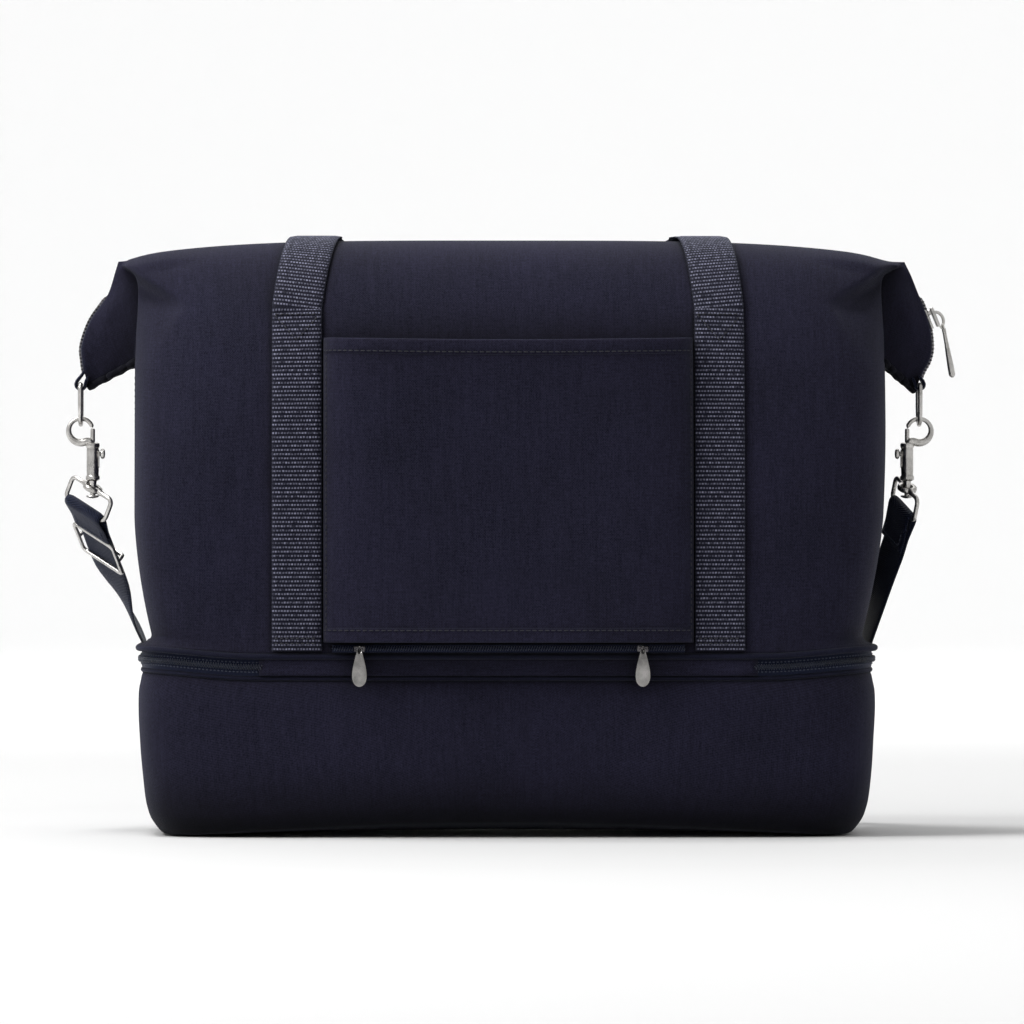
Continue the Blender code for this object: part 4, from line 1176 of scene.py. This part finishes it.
def surface_stitches(x, side, marks, lift):
    """Rows of stitches on a face: each mark is a line of (across, height) pairs from the middle x."""
    found = []
    for line in marks:
        points = []
        for (a, low), (b, high) in zip(line, line[1:]):
            for i in range(8):
                points.append((mix(a, b, i / 8), mix(low, high, i / 8)))
        points.append(line[-1])
        spots = [face_point(x + across, z, side, lift) for across, z in points]
        up = face_point(x, line[0][1], side, 0.01) - face_point(x, line[0][1], side, 0.0)
        found += stitch_row(spots, [up] * len(spots), WEB_STITCH)
    return found


# Lines of stitches as (across, height) pairs: two at the top of the rear webbing and two at the band
WEB_MARKS = (
    ((-0.0130, 0.3082), (0.0130, 0.3082)),
    ((-0.0130, 0.3078), (0.0, 0.2930), (0.0130, 0.3078)),
    ((-0.0130, 0.1145), (0.0130, 0.1145)),
    ((-0.0130, 0.1175), (0.0130, 0.1175)),
)


def sewn_rows(name, x, side, marks):
    lift = STITCH_LIFT + WEB_THICK / 2 + WEB_LIFT
    piece = stitching(name, surface_stitches(x, side, marks, lift), THREAD)
    place(piece, "upper_body", "webbing")


def build_webbing():
    for side, (sign, _) in SIDES.items():
        x = sign * HANDLE_X
        riser = [s for s in riser_stations(sign) if s[0].y < -0.0030]
        rear = webbing_run(f"rear_{side}_web", sewn_stations(x, -1, 0.3110) + riser)
        hinge = face_point(x, 0.3096, -1, WEB_LIFT)
        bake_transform(rear)
        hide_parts(f"rear_{side}_webbing", f"rear_handle_{side}_riser")
        sewn_rows(f"rear_{side}_web_stitches", x, -1, WEB_MARKS)
        front = webbing_run(f"front_{side}_web", sewn_stations(x, 1, FRONT_SEWN))
        place(front, "upper_body", "webbing", f"front_{side}_webbing")
        sewn_rows(f"front_{side}_web_stitches", x, 1, WEB_MARKS[2:])
        low = face_point(x, FRONT_SEWN, 1, WEB_LIFT)
        spots = ((0.3068, 0.0018), (0.3094, 0.0030), (0.3094, 0.0048), (0.3060, 0.0060))
        line = curve_through([low, *(face_point(x, z, 1, lift) for z, lift in spots)], 8)
        fold = ribbon(f"front_{side}_fold", [(p, (1, 0, 0)) for p in even(line, 30)], WEBBING, rib=RIB)
        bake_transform(fold)


# Down one leg of each handle: the height, how far out, the lift off the front and the way of the width
GRIP_LEG = (
    (0.3480, 0.1100, 0.0050, (1, 0, 0)),
    (0.3250, 0.1000, 0.0055, (1, 0, 0)),
    (0.2950, 0.0880, 0.0090, (0.95, 0.3, 0)),
    (0.2600, 0.0760, 0.0150, (0.75, 0.65, 0)),
    (0.2300, 0.0600, 0.0190, (0.35, 0.93, 0)),
    (0.2130, 0.0340, 0.0195, (0.10, 1.0, 0)),
)
FRONT_LEG = (
    (0.3060, 0.1250, 0.0060, (1, 0, 0)),
    (0.2800, 0.1250, 0.0065, (1, 0, 0)),
    (0.2400, 0.1250, 0.0080, (0.98, 0.2, 0)),
    (0.2000, 0.1220, 0.0130, (0.85, 0.5, 0)),
    (0.1650, 0.1080, 0.0190, (0.50, 0.87, 0)),
    (0.1380, 0.0800, 0.0195, (0.15, 1.0, 0)),
    (0.1250, 0.0400, 0.0195, (0.05, 1.0, 0)),
)
HANG_LIFT = 0.0195  # the lift at the lowest place of both


def hanging(leg, low, top=()):
    """Stations down the left leg of a handle, across at its lowest and up the right one."""
    down = list(top)
    down += [(face_point(-x, z, 1, lift), way) for z, x, lift, way in leg]
    up = [((-p[0], p[1], p[2]), (-w[0], w[1], w[2])) for p, w in reversed(down)]
    return [*down, (face_point(0.0, low, 1, HANG_LIFT), (0, 1, 0)), *up]


def turning(stations, steps):
    """A smooth run of stations; the way of the width turns with the run."""
    made = curve_through([(*middle, *way) for middle, way in stations], steps)
    return [(Vector(n[:3]), n[3:]) for n in made]


def build_handles():
    end = riser_stations(-1)[-1][0]
    over = []
    for y, drop in ((-0.0034, 0.0), (0.0, 0.0), (0.0040, 0.0001), (0.0120, 0.0008)):
        over.append((Vector((end.x - 0.0003, y, end.z - drop)), (1, 0, 0)))
    piece = webbing_run("rear_grip_web", turning(hanging(GRIP_LEG, 0.208, over), 10))
    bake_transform(piece)
    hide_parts("rear_handle_grip")
    piece = webbing_run("front_handle_web", turning(hanging(FRONT_LEG, 0.122), 8))
    place(piece, "front_handle", "webbing", "front_handle")


# The trolley sleeve


SLEEVE_BOTTOM = SLEEVE_LOW - 0.0012
SLEEVE_TOP = SLEEVE_HIGH - 0.0038


def sleeve_point(share, z, lift=0.0):
    x = SLEEVE_HALF * share
    edge = face_point(x, z, -1).y - 0.0012
    bulge = (1 - abs(share) ** 6) ** 0.5
    y = edge + (-SLEEVE_OUT - edge) * bulge
    wave = 0.0012 * noise.noise(Vector((x * 14, z * 9, 3.3)))
    wave += 0.0005 * noise.noise(Vector((x * 40, z * 22, 6.1)))
    droop = 0.0014 * (1 - share**2) * smooth((z - 0.24) / 0.06)
    return Vector((x, y - lift + wave * bulge, z - droop))


def build_sleeve():
    heights = [mix(SLEEVE_BOTTOM, SLEEVE_TOP - 0.0012, j / 60) for j in range(61)]
    shares = [sin(pi / 2 * (i / 60 - 1)) for i in range(121)]
    rows = [[sleeve_point(s, z) for s in shares] for z in heights]
    cloth = sheet("sleeve_cloth", rows, CANVAS, middle=True)
    place(thicken(cloth, 0.0014, LINING), "upper_body", "canvas", "trolley_sleeve")
    for name, low, high in (
        ("top", SLEEVE_TOP - 0.0095, SLEEVE_TOP - 0.0002),
        ("bottom", SLEEVE_BOTTOM - 0.0002, SLEEVE_BOTTOM + 0.0085),
    ):
        rows = []
        for t in (0.0, 0.06, 0.2, 0.5, 0.8, 0.94, 1.0):
            swell = 0.0006 * (1 - abs(2 * t - 1) ** 6) ** 0.5
            rows.append([sleeve_point(s * 0.998, mix(low, high, t), swell + 0.0001) for s in shares])
        hem = sheet(f"sleeve_{name}_hem", rows, CANVAS, middle=True)
        place(thicken(hem, 0.0012), "upper_body", "canvas")
    found = []
    for z in (SLEEVE_TOP - 0.0078, SLEEVE_BOTTOM + 0.0070):
        row = [sleeve_point(s * 0.996, z, 0.0009) for s in shares]
        found += stitch_row(row, [(0, -1, 0)] * len(row), HEM_STITCH)
    for hand in (-1, 1):
        row = [sleeve_point(hand * 0.985, z, 0.0002) for z in heights]
        found += stitch_row(row, [(hand * 0.7, -0.7, 0)] * len(row), HEM_STITCH)
    place(stitching("sleeve_stitches", found, THREAD), "upper_body", "canvas")
    half = 0.104
    low = BODY_Z + 0.0005
    rows = []
    for t in (0.0, 0.3, 0.45, 0.55, 0.7, 1.0):
        z = low + 0.0045 * t
        push = 0.0006 if 0.4 < t < 0.6 else 0.0
        across = [half * (i / 40 - 1) for i in range(81)]
        rows.append([Vector((x, face_point(x, z, -1).y - 0.0017 - push, z)) for x in across])
    tape = sheet("sleeve_tape", rows, TAPE, middle=True)
    place(thicken(tape, TAPE_THICK), "upper_body", "zip_tape", "sleeve_zip_tape")
    line = []
    steps = int(2 * half / COIL_PITCH) * COIL_SIDES
    for i in range(steps + 1):
        x = half * (2 * i / steps - 1)
        angle = tau * i / COIL_SIDES
        y = face_point(x, low + 0.0022, -1).y - 0.0024 - 0.0007 * cos(angle)
        line.append(Vector((x, y, low + 0.00225 + 0.0011 * sin(angle))))
    place(sweep("sleeve_coil", line, 0.00030, COIL, sides=5), "upper_body", "zip_tape")


# Hardware


def rounded_frame(middle, across, up, half_width, half_height, corner, steps):
    """The points of a rounded rectangle, with some steps to each corner."""
    points = []
    for over, rise, start in ((1, 1, 0), (-1, 1, 90), (-1, -1, 180), (1, -1, 270)):
        centre = middle + across * over * (half_width - corner) + up * rise * (half_height - corner)
        for i in range(steps + 1):
            angle = radians(start + 90 * i / steps)
            points.append(centre + across * corner * cos(angle) + up * corner * sin(angle))
    return points


def loop_frame(side):
    """The hub of a strap loop, and its ways across, down and along the webbing that leaves it."""
    sign, middle = SIDES[side]
    hub = Vector((middle - sign * BARREL_IN, 0.0, HUB_Z))
    across = Vector({"left": (0.70, -0.56, -0.44), "right": (0.33, -0.85, -0.42)}[side]).normalized()
    down = Vector((0, 0, -1))
    down = (down - down.dot(across) * across).normalized()
    along = Vector({"left": (0.178, 0.784, -0.595), "right": (-0.25, 0.35, -0.90)}[side])
    along = (along - along.dot(across) * across).normalized()
    return hub, across, down, along


def build_tab(side):
    """A folded webbing tab: from the ear's tip round the ring's bar and back."""
    sign, middle = SIDES[side]
    bar = Vector((middle, 0, RING_BAR_Z))
    out = Vector((sign, 0, 0))
    up = Vector((0, 0, 1))
    down = ((0.0090, -0.0062), (0.0050, -0.0046), (0.0016, -0.0031))
    back = ((0.0024, 0.0020), (0.0052, -0.0002), (0.0090, -0.0030))
    path = [bar + up * rise + out * away for rise, away in down]
    path += arc(bar, -out, -up, 0.0028, 10, 190, 12)
    path += [bar + up * rise + out * away for rise, away in back]
    stations = [(p, (0, 1, 0)) for p in even(curve_through(path, 3), 60)]

    def narrowing(share):
        return mix(0.0100, 0.0176, smooth(2.4 - abs(share - 0.5) * 6.0))

    tab = ribbon(f"{side}_tab_web", stations, STRAP, width=narrowing, thick=0.0019, rib=0.0001, pitch=0.002)
    place(tab, "upper_body", "webbing", f"{side}_ring_tab")


def build_ring(side):
    _, middle = SIDES[side]
    across = Vector((0, 1, 0))
    up = Vector((0, 0, 1))
    points = []
    corner = 0.003
    bar = Vector((middle, 0, RING_BAR_Z))
    for hand in (1, -1):
        centre = bar + across * hand * (RING_ARC - corner) - up * corner
        turn = arc(centre, across * hand, up, corner, 0, 90, 6)
        points += turn if hand > 0 else turn[::-1]
    points += arc(Vector((middle, 0, RING_ARC_Z)), -across, -up, RING_ARC, 0, 180, 26)
    ring = sweep(f"{side}_ring_wire", even(points, 110, True), RING_WIRE, NICKEL, closed=True, sides=16)
    place(ring, f"{side}_ring", "nickel", f"{side}_d_ring")


def build_hook(side):
    sign, middle = SIDES[side]
    bag = Vector((-sign, 0, 0))
    up = Vector((0, 0, 1))
    centre = Vector((middle, 0, HOOK_Z))
    foot = Vector((middle - sign * BARREL_IN, 0, 0))
    path = arc(centre, bag, up, HOOK_ARC, 13, 298, 48)
    path.append(foot - bag * 0.0014 + up * (BARREL_HIGH + 0.0002))
    path.append(foot - bag * 0.0010 + up * (BARREL_HIGH - 0.0030))
    path = curve_through(even(path, 24), 4)

    def girth(share):
        return mix(0.00128, 0.00240, smooth((share - 0.30) / 0.60)) * smooth(0.35 + share * 16)

    ring = sweep(f"{side}_hook_ring", path, girth, NICKEL, sides=18, flat=1.05)
    high = BARREL_HIGH - BARREL_LOW
    profile = (
        (0.0006, 0.0), (0.0028, 0.0), (0.0036, 0.0005), (0.0042, 0.0010), (0.0042, 0.0028), (0.0037, 0.0033),
        (0.0036, 0.0042), (0.0037, 0.0060), (0.0037, high - 0.0048), (0.0036, high - 0.0034),
        (0.0040, high - 0.0030), (0.0042, high - 0.0018), (0.0040, high - 0.0006), (0.0032, high),
        (0.0018, high), (0.0017, high - 0.0010), (0.0016, high - 0.0016),
    )
    barrel = lathe(f"{side}_barrel", profile, foot + up * BARREL_LOW, up, NICKEL, 36)
    post_profile = ((0.0016, 0), (0.0017, 0.003), (0.0024, 0.0102))
    post = lathe(f"{side}_post", post_profile, foot + up * (HUB_Z - 0.0058), up, NICKEL, 24)
    head_profile = (
        (0.0004, 0), (0.0022, 0.0003), (0.0036, 0.0009), (0.0040, 0.0015), (0.0038, 0.0019), (0.0016, 0.0020),
    )
    head = lathe(f"{side}_head", head_profile, foot + up * (HUB_Z - 0.0063), up, NICKEL, 28)
    slot_middle = foot + bag * 0.0036 + up * (KNOB_Z - 0.0030)
    slot_frame = rounded_frame(slot_middle, Vector((0, 1, 0)), up, 0.0015, 0.0052, 0.0014, 6)
    slot_edge = sweep(f"{side}_slot", slot_frame, 0.00042, NICKEL, closed=True, sides=8)
    # A dark rod of the coil nylon in the bolt's slot: painted shade in the slot's recess
    floor = [foot + bag * 0.00280 + up * (KNOB_Z + z) for z in (-0.0078, 0.0018)]
    dark = sweep(f"{side}_slot_floor", floor, 0.00095, COIL, sides=10)
    hook = join(f"{side}_hook_cast", [ring, barrel, post, head, slot_edge, dark])
    place(crease(hook, 42), f"{side}_hook", "nickel", f"{side}_hook")
    reach = HOOK_Z - PIN_LOW
    pin_profile = ((0.0014, 0), (0.0014, reach + 0.0002), (0.0012, reach + 0.0011), (0.0005, reach + 0.0014))
    pin = lathe(f"{side}_pin", pin_profile, foot + up * PIN_LOW, up, NICKEL, 20)
    knob_profile = (
        (0.0012, 0.0), (0.0012, 0.0042), (0.0017, 0.0046), (0.0028, 0.0050),
        (0.0032, 0.0058), (0.0030, 0.0067), (0.0021, 0.0073), (0.0004, 0.0075),
    )
    knob = lathe(f"{side}_knob", knob_profile, foot + up * KNOB_Z, bag, NICKEL, 24)
    bolt = join(f"{side}_bolt_pin", [pin, knob])
    place(crease(bolt, 42), f"{side}_bolt", "nickel", f"{side}_hook_bolt")


def build_loop(side):
    hub, across, down, _ = loop_frame(side)
    face = across.cross(down)
    middle = hub + down * LOOP_DROP / 2
    points = rounded_frame(middle, across, -down, LOOP_HALF, LOOP_DROP / 2, 0.0034, 7)
    closed = even(points, 150, True)
    frame_bar = sweep(f"{side}_frame", closed, LOOP_WIRE, NICKEL, closed=True, sides=16)
    eye_profile = (
        (0.0034, -0.0015), (0.0050, -0.0017), (0.0058, -0.0012), (0.0060, 0.0), (0.0058, 0.0012),
        (0.0050, 0.0017), (0.0034, 0.0015), (0.0030, 0.0),
    )
    rows = []
    for radius, up in (*eye_profile, eye_profile[0]):
        rows.append(arc(hub - down * up, across, face, radius, 0, 360, 40)[:-1])
    points = [p for row in rows for p in row]
    eye = add_mesh(f"{side}_eye", points, grid_faces(len(rows), 40, looped=True, flipped=True), NICKEL)
    shoulders = []
    for hand in (-1, 1):
        line = [hub + across * hand * away for away in (0.0046, 0.0070, 0.0098)]
        line[0] -= down * 0.0004
        shoulders.append(sweep(f"{side}_shoulder", line, lambda share: mix(0.0021, 0.0013, share), NICKEL))
    loop = join(f"{side}_strap_frame", [frame_bar, eye, *shoulders])
    place(crease(loop, 50), "shoulder_strap", "nickel", f"{side}_strap_loop")


def build_adjuster():
    hub, across, down, along = loop_frame("left")
    face = along.cross(across)
    middle = hub + down * LOOP_DROP - face * 0.00125 + along * 0.037
    wire = 0.0013
    lift = WEB_THICK / 2 + 0.0012 + GAP
    half = 0.0172
    points = rounded_frame(middle + face * lift, across, along, half, 0.0130, 0.0030, 7)
    outer = sweep("adjuster_frame", even(points, 130, True), wire, NICKEL, closed=True, sides=16)
    dip = ((-1, 1), (-1, 0.2), (-0.97, -0.7), (-0.90, -1), (-0.5, -1), (0, -1))
    dip += tuple((-over, rise) for over, rise in dip[-2::-1])
    bend = [middle + across * half * over + face * lift * rise for over, rise in dip]
    bar = sweep("adjuster_middle", curve_through(bend, 4), wire, NICKEL, sides=16)
    place(join("adjuster_bars", [outer, bar]), "adjuster", "nickel", "strap_adjuster")


STRAP_ROUTE = {
    "left": (
        ((-0.2290, 0.0750, 0.1320), (0.27, -0.80, -0.53)),
        ((-0.2195, 0.0950, 0.1120), (0.15, -0.85, -0.50)),
        ((-0.2125, 0.1140, 0.0860), (0.10, -0.90, -0.42)),
        ((-0.2030, 0.1320, 0.0500), (0.00, -0.92, -0.38)),
        ((-0.1880, 0.1460, 0.0180), (0.00, -0.97, -0.22)),
        ((-0.1650, 0.1520, 0.0040), (0.00, -1.00, -0.05)),
        ((-0.1300, 0.1530, 0.0013), (0.00, -1.00, 0.00)),
        ((-0.0600, 0.1530, 0.0013), (0.00, -1.00, 0.00)),
    ),
    "right": (
        ((0.2275, 0.0320, 0.1480), (0.28, -0.87, -0.42)),
        ((0.2215, 0.0560, 0.1250), (0.20, -0.88, -0.43)),
        ((0.2175, 0.0830, 0.1070), (0.12, -0.85, -0.50)),
        ((0.2120, 0.1090, 0.0810), (0.08, -0.88, -0.46)),
        ((0.2030, 0.1310, 0.0480), (0.00, -0.92, -0.38)),
        ((0.1880, 0.1460, 0.0180), (0.00, -0.97, -0.22)),
        ((0.1650, 0.1520, 0.0040), (0.00, -1.00, -0.05)),
        ((0.1300, 0.1530, 0.0013), (0.00, -1.00, 0.00)),
        ((0.0600, 0.1530, 0.0013), (0.00, -1.00, 0.00)),
    ),
}
TAIL = 0.022  # the length of the strap's folded end
WRAP = LOOP_WIRE + GAP + WEB_THICK / 2  # from the loop's bar to the middle of the webbing round it
LAYER = 0.00125  # from the fold's middle to the middle of each of its two layers


def fold_stations(side):
    """The strap's folded end: from its tail, round the loop's lower bar and off along the strap."""
    hub, across, down, along = loop_frame(side)
    bar = hub + down * LOOP_DROP
    face = along.cross(across)
    tail = [
        bar + face * LAYER + along * TAIL,
        bar + face * LAYER + along * TAIL * 0.6,
        bar + face * WRAP + along * 0.002,
    ]
    turn = [bar + face * WRAP * cos(pi * i / 12) - along * WRAP * sin(pi * i / 12) for i in range(13)]
    run = [
        bar - face * WRAP + along * 0.002,
        bar - face * LAYER + along * TAIL * 0.6,
        bar - face * LAYER + along * TAIL,
    ]
    return [(p, across) for p in tail + turn + run]


def build_strap():
    left = fold_stations("left")
    hub, across, down, along = loop_frame("left")
    start = hub + down * LOOP_DROP - along.cross(across) * LAYER
    straight = 0.037 + 0.0130 + 0.012 + 0.004
    left_route = [(start + along * TAIL * 1.3, across), (start + along * straight, across)]
    left_route += list(STRAP_ROUTE["left"])
    right = fold_stations("right")
    right_route = [right[-1], *STRAP_ROUTE["right"]]
    run = turning(left_route + right_route[::-1], 5)
    web = ribbon("strap_web", left + run + right[-2::-1], STRAP, width=0.0298, step=0.0022, lanes=10)
    place(web, "shoulder_strap", "webbing", "strap_webbing")
    found = []
    for side in SIDES:
        hub, across, down, along = loop_frame(side)
        bar = hub + down * LOOP_DROP
        face = along.cross(across)
        for hand in (1, -1):
            lift = face * hand * (LAYER + WEB_THICK / 2 + STITCH_LIFT)
            corners = [(-0.011, 0.0085), (0.011, 0.0085), (0.011, 0.0195), (-0.011, 0.0195), (-0.011, 0.0085)]
            line = []
            for (a, b), (c, d) in zip(corners, corners[1:]):
                line += [bar + lift + across * mix(a, c, i / 6) + along * mix(b, d, i / 6) for i in range(6)]
            found += stitch_row(line, [face * hand] * len(line), STRAP_STITCH)
    place(stitching("strap_stitches", found, PALE_THREAD), "shoulder_strap", "webbing")


# Sliders and pulls

SLEEVE_PULLS = {"left": -0.088, "right": 0.079}
BAND_PULLS = {"left": -0.014, "right": 0.014}
PULL_LENGTH = 0.0250
PULL_WIDTH = 0.0090


def teardrop(name, top, hand, look):
    """A domed teardrop pull with a hole at its narrow end; hand is the side of the bag it faces."""
    hole = 0.0010
    rows = []
    count = 56
    rings = (
        (1.00, 0.0), (0.97, 0.55), (0.88, 0.95), (0.72, 1.20), (0.50, 1.38), (0.25, 1.46), (0.0, 1.48),
    )
    for face in (1, -1):
        for inset, rise in rings if face > 0 else rings[::-1]:
            row = []
            for i in range(count):
                angle = tau * i / count
                share = (1 - cos(angle)) / 2
                half = PULL_WIDTH / 1.35 * sin(angle) * (0.14 + 0.86 * share)
                down = PULL_LENGTH * share
                eye_x, eye_z = sin(angle) * hole, -0.0024 + cos(angle) * hole
                x = mix(eye_x, half, inset)
                z = mix(eye_z, -down, inset)
                thin = mix(0.55, 1.0, smooth((-z - 0.002) / 0.010))
                row.append(Vector((top.x + x, top.y + hand * face * 0.0010 * rise * thin, top.z + z)))
            rows.append(row)
    points = [p for row in rows for p in row]
    return add_mesh(name, points, ring_faces(len(rows), count, flipped=hand > 0), look)


def slab(name, middle, ways, size, look, rounding):
    """A block with rounded edges along three ways."""
    work = bmesh.new()
    bmesh.ops.create_cube(work, size=1.0)
    bmesh.ops.scale(work, vec=size, verts=work.verts)
    bmesh.ops.bevel(work, geom=work.edges[:], offset=rounding, segments=4, profile=0.5, affect="EDGES")
    turn = Matrix([Vector(w) for w in ways]).transposed().to_4x4()
    bmesh.ops.transform(work, matrix=Matrix.Translation(middle) @ turn, verts=work.verts)
    mesh = bpy.data.meshes.new(name)
    work.to_mesh(mesh)
    work.free()
    mesh.materials.append(look)
    mesh.shade_smooth()
    made = bpy.data.objects.new(name, mesh)
    bpy.context.scene.collection.objects.link(made)
    return made


def slider(name, middle, along, out, length, width, thick, look, reach=0.0, shift=0.0):
    """A zip slider: a top plate, a plate under the teeth and a bridge for the pull."""
    across = along.cross(out)
    ways = (along, across, out)
    slabs = []
    for word, centre, size, rounding in (
        ("top", middle + out * thick * 0.32, (length, width, thick * 0.36), 0.16),
        ("low", middle - out * thick * 0.30, (length, width, thick * 0.30), 0.13),
        ("wedge", middle - along * length * 0.30, (length * 0.26, width * 0.5, thick * 0.8), 0.12),
    ):
        slabs.append(slab(f"{name}_{word}", centre, ways, size, look, thick * rounding))
    line = arc(middle + out * thick * 0.42 + along * shift, along, out, reach or length * 0.30, 0, 180, 14)
    line = [p - out * max(0.0, (p - middle).dot(out) - thick * 0.42) * 0.25 for p in line]
    bridge = sweep(name + "_bridge", line, length * 0.075, look, sides=12, start=across)
    return crease(join(name, [*slabs, bridge]))


def build_pulls():
    for side, x in SLEEVE_PULLS.items():
        # The sleeve sliders take the dark zip metal: painted shade, as they sit in the shadow under the
        # sleeve's hem
        body = slider(f"sleeve_{side}_slider_body", Vector((x, -0.1046, 0.1113)), Vector((1, 0, 0)),
                      Vector((0, -1, 0)), 0.0066, 0.0038, 0.0042, TEETH)
        place(body, f"sleeve_slider_{side}", "nickel", f"sleeve_slider_{side}")
        pull = teardrop(f"sleeve_{side}_teardrop", Vector((x, -0.1092, 0.1138)), -1, PULL_METAL)
        place(pull, f"sleeve_pull_{side}", "nickel", f"sleeve_pull_{side}")
    z = UPPER_TAPE_Z - GAP / 2
    for side, x in BAND_PULLS.items():
        body = slider(f"band_{side}_slider_body", Vector((x, HALF_DEPTH + 0.0026, z)), Vector((1, 0, 0)),
                      Vector((0, 1, 0)), 0.0100, 0.0064, 0.0044, NICKEL)
        place(body, f"band_slider_{side}", "nickel", f"band_slider_{side}")
        pull = teardrop(f"band_{side}_teardrop", Vector((x, HALF_DEPTH + 0.0068, z + 0.0022)), 1, PULL_METAL)
        place(pull, f"band_pull_{side}", "nickel", f"band_pull_{side}")
    middle = Vector((0.25641, 0.0, 0.30859))
    along = Vector((0.376, 0.0, -0.926)).normalized()
    out = Vector((0.926, 0.0, 0.376)).normalized()
    body = slider("main_slider_body", middle, along, out, 0.0125, 0.0086, 0.0066, NICKEL, 0.0050, 0.0022)
    place(body, "main_slider", "nickel", "main_zip_slider")
    eye = Vector((0.26337, 0.0, 0.30494))
    hang = Vector((0.18, 0.0, -0.984)).normalized()
    loop = even(arc(eye + hang * 0.0012, Vector((0, 1, 0)), hang, 0.0017, 0, 360, 24)[:-1], 24, True)
    ring = sweep("main_pull_eye", loop, 0.0006, NICKEL, closed=True, sides=10)
    marks = (0.0024, 0.006, 0.010, 0.015, 0.020, 0.025, 0.028, 0.030, 0.0315, 0.0325)
    line = curve_through([eye + hang * down for down in marks], 4)

    def girth(share):
        tip = 1 - 0.7 * clamp((share - 0.93) / 0.07) ** 2
        return mix(0.0012, 0.0020, smooth((share - 0.15) / 0.7)) * tip

    bar = sweep("main_pull_bar", line, girth, NICKEL, sides=18)
    place(join("main_pull_shank", [ring, bar]), "main_pull", "nickel", "main_zip_pull")


# The picture's surroundings


# Name, place, aim, watts and size
LIGHTS = (
    ("key", (-1.35, -0.75, 1.6), (0, 0, 0.28), 29, (0.7, 0.7)),
    ("top", (-0.6, 0.0, 2.4), (0, 0, 0.3), 36, (0.8, 0.7)),
    ("far", (0.0, 2.5, 3.0), (0, 9.0, 0.6), 52, (4.0, 1.5)),
    ("field", (0.0, 5.0, 5.0), (0, 4.5, 0), 62, (4.0, 3.0)),
)
FLOOR_Z = -0.0005
FLOOR_REACH = 7.0
FLOOR_BEND = 2.0  # the radius that joins the floor to the wall all round it
WALL_TOP = 6.0


def light(name, where, aim, watts, size):
    lamp = bpy.data.lights.new(name, "AREA")
    lamp.energy = watts
    lamp.shape = "RECTANGLE"
    lamp.size, lamp.size_y = size
    made = bpy.data.objects.new(name, lamp)
    made.location = where
    made.rotation_euler = (Vector(aim) - Vector(where)).to_track_quat("-Z", "Y").to_euler()
    bpy.context.scene.collection.objects.link(made)


def floor_look():
    """White paper that is lighter away from the bag: painted shade near the bag evens out the lamps' stronger
    light there.
    """
    made, tree, shader = new_look("studio_floor")
    where = node(tree, "TexCoord").outputs["Object"]
    speck = grain(tree, where, 6.0)
    away = node(tree, "VectorMath", {0: where}, operation="LENGTH").outputs["Value"]
    away = node(tree, "MapRange", {0: away, 1: 0.5, 2: 3.6}).outputs[0]
    tone = calc(tree, "MULTIPLY_ADD", speck, 0.01, away)
    # Darker near the bag: painted shade against the lamps' brighter light on the floor there
    greys = ((0.0, 0.57), (0.5, 0.85), (1.0, 0.97))
    color = ramp(tree, tone, [(at, (grey, grey, grey)) for at, grey in greys])
    wire(tree, shader, color, span(tree, speck, 0.75, 0.9), speck, 0.0001, 0.2)
    return made


def build_studio():
    profile = [(radius, FLOOR_Z) for radius in (0.0001, 1.0, 3.0, FLOOR_REACH)]
    for i in range(1, 13):
        angle = pi / 2 * i / 12
        profile.append((FLOOR_REACH + FLOOR_BEND * sin(angle), FLOOR_BEND * (1 - cos(angle)) + FLOOR_Z))
    profile.append((FLOOR_REACH + FLOOR_BEND, WALL_TOP))
    turn = [tau * i / 96 for i in range(96)]
    rows = [[Vector((radius * cos(a), radius * sin(a), z)) for a in turn] for radius, z in profile]
    sheet("floor", rows, floor_look(), looped=True, flipped=True)
    for lamp in LIGHTS:
        light(*lamp)
    scene = bpy.context.scene
    scene.view_settings.view_transform = "Standard"
    scene.world = bpy.data.worlds.new("studio")
    scene.world.use_nodes = True
    background = scene.world.node_tree.nodes["Background"]
    background.inputs["Color"].default_value = (0.66, 0.66, 0.66, 1)
    lens = bpy.data.cameras.new("camera")
    lens.lens = 298
    lens.sensor_width = 36
    lens.clip_end = 50
    camera = bpy.data.objects.new("camera", lens)
    camera.location = (-0.087, -5.1, 0.192)
    camera.rotation_euler = (radians(90), 0, radians(-1.02))
    scene.collection.objects.link(camera)
    scene.camera = camera


build_body()
build_base()
build_band_zip()
build_divider()
build_top_zip()
build_webbing()
build_handles()
build_sleeve()
for side_name in SIDES:
    build_tab(side_name)
    build_ring(side_name)
    build_hook(side_name)
    build_loop(side_name)
build_adjuster()
build_strap()
build_pulls()
build_studio()
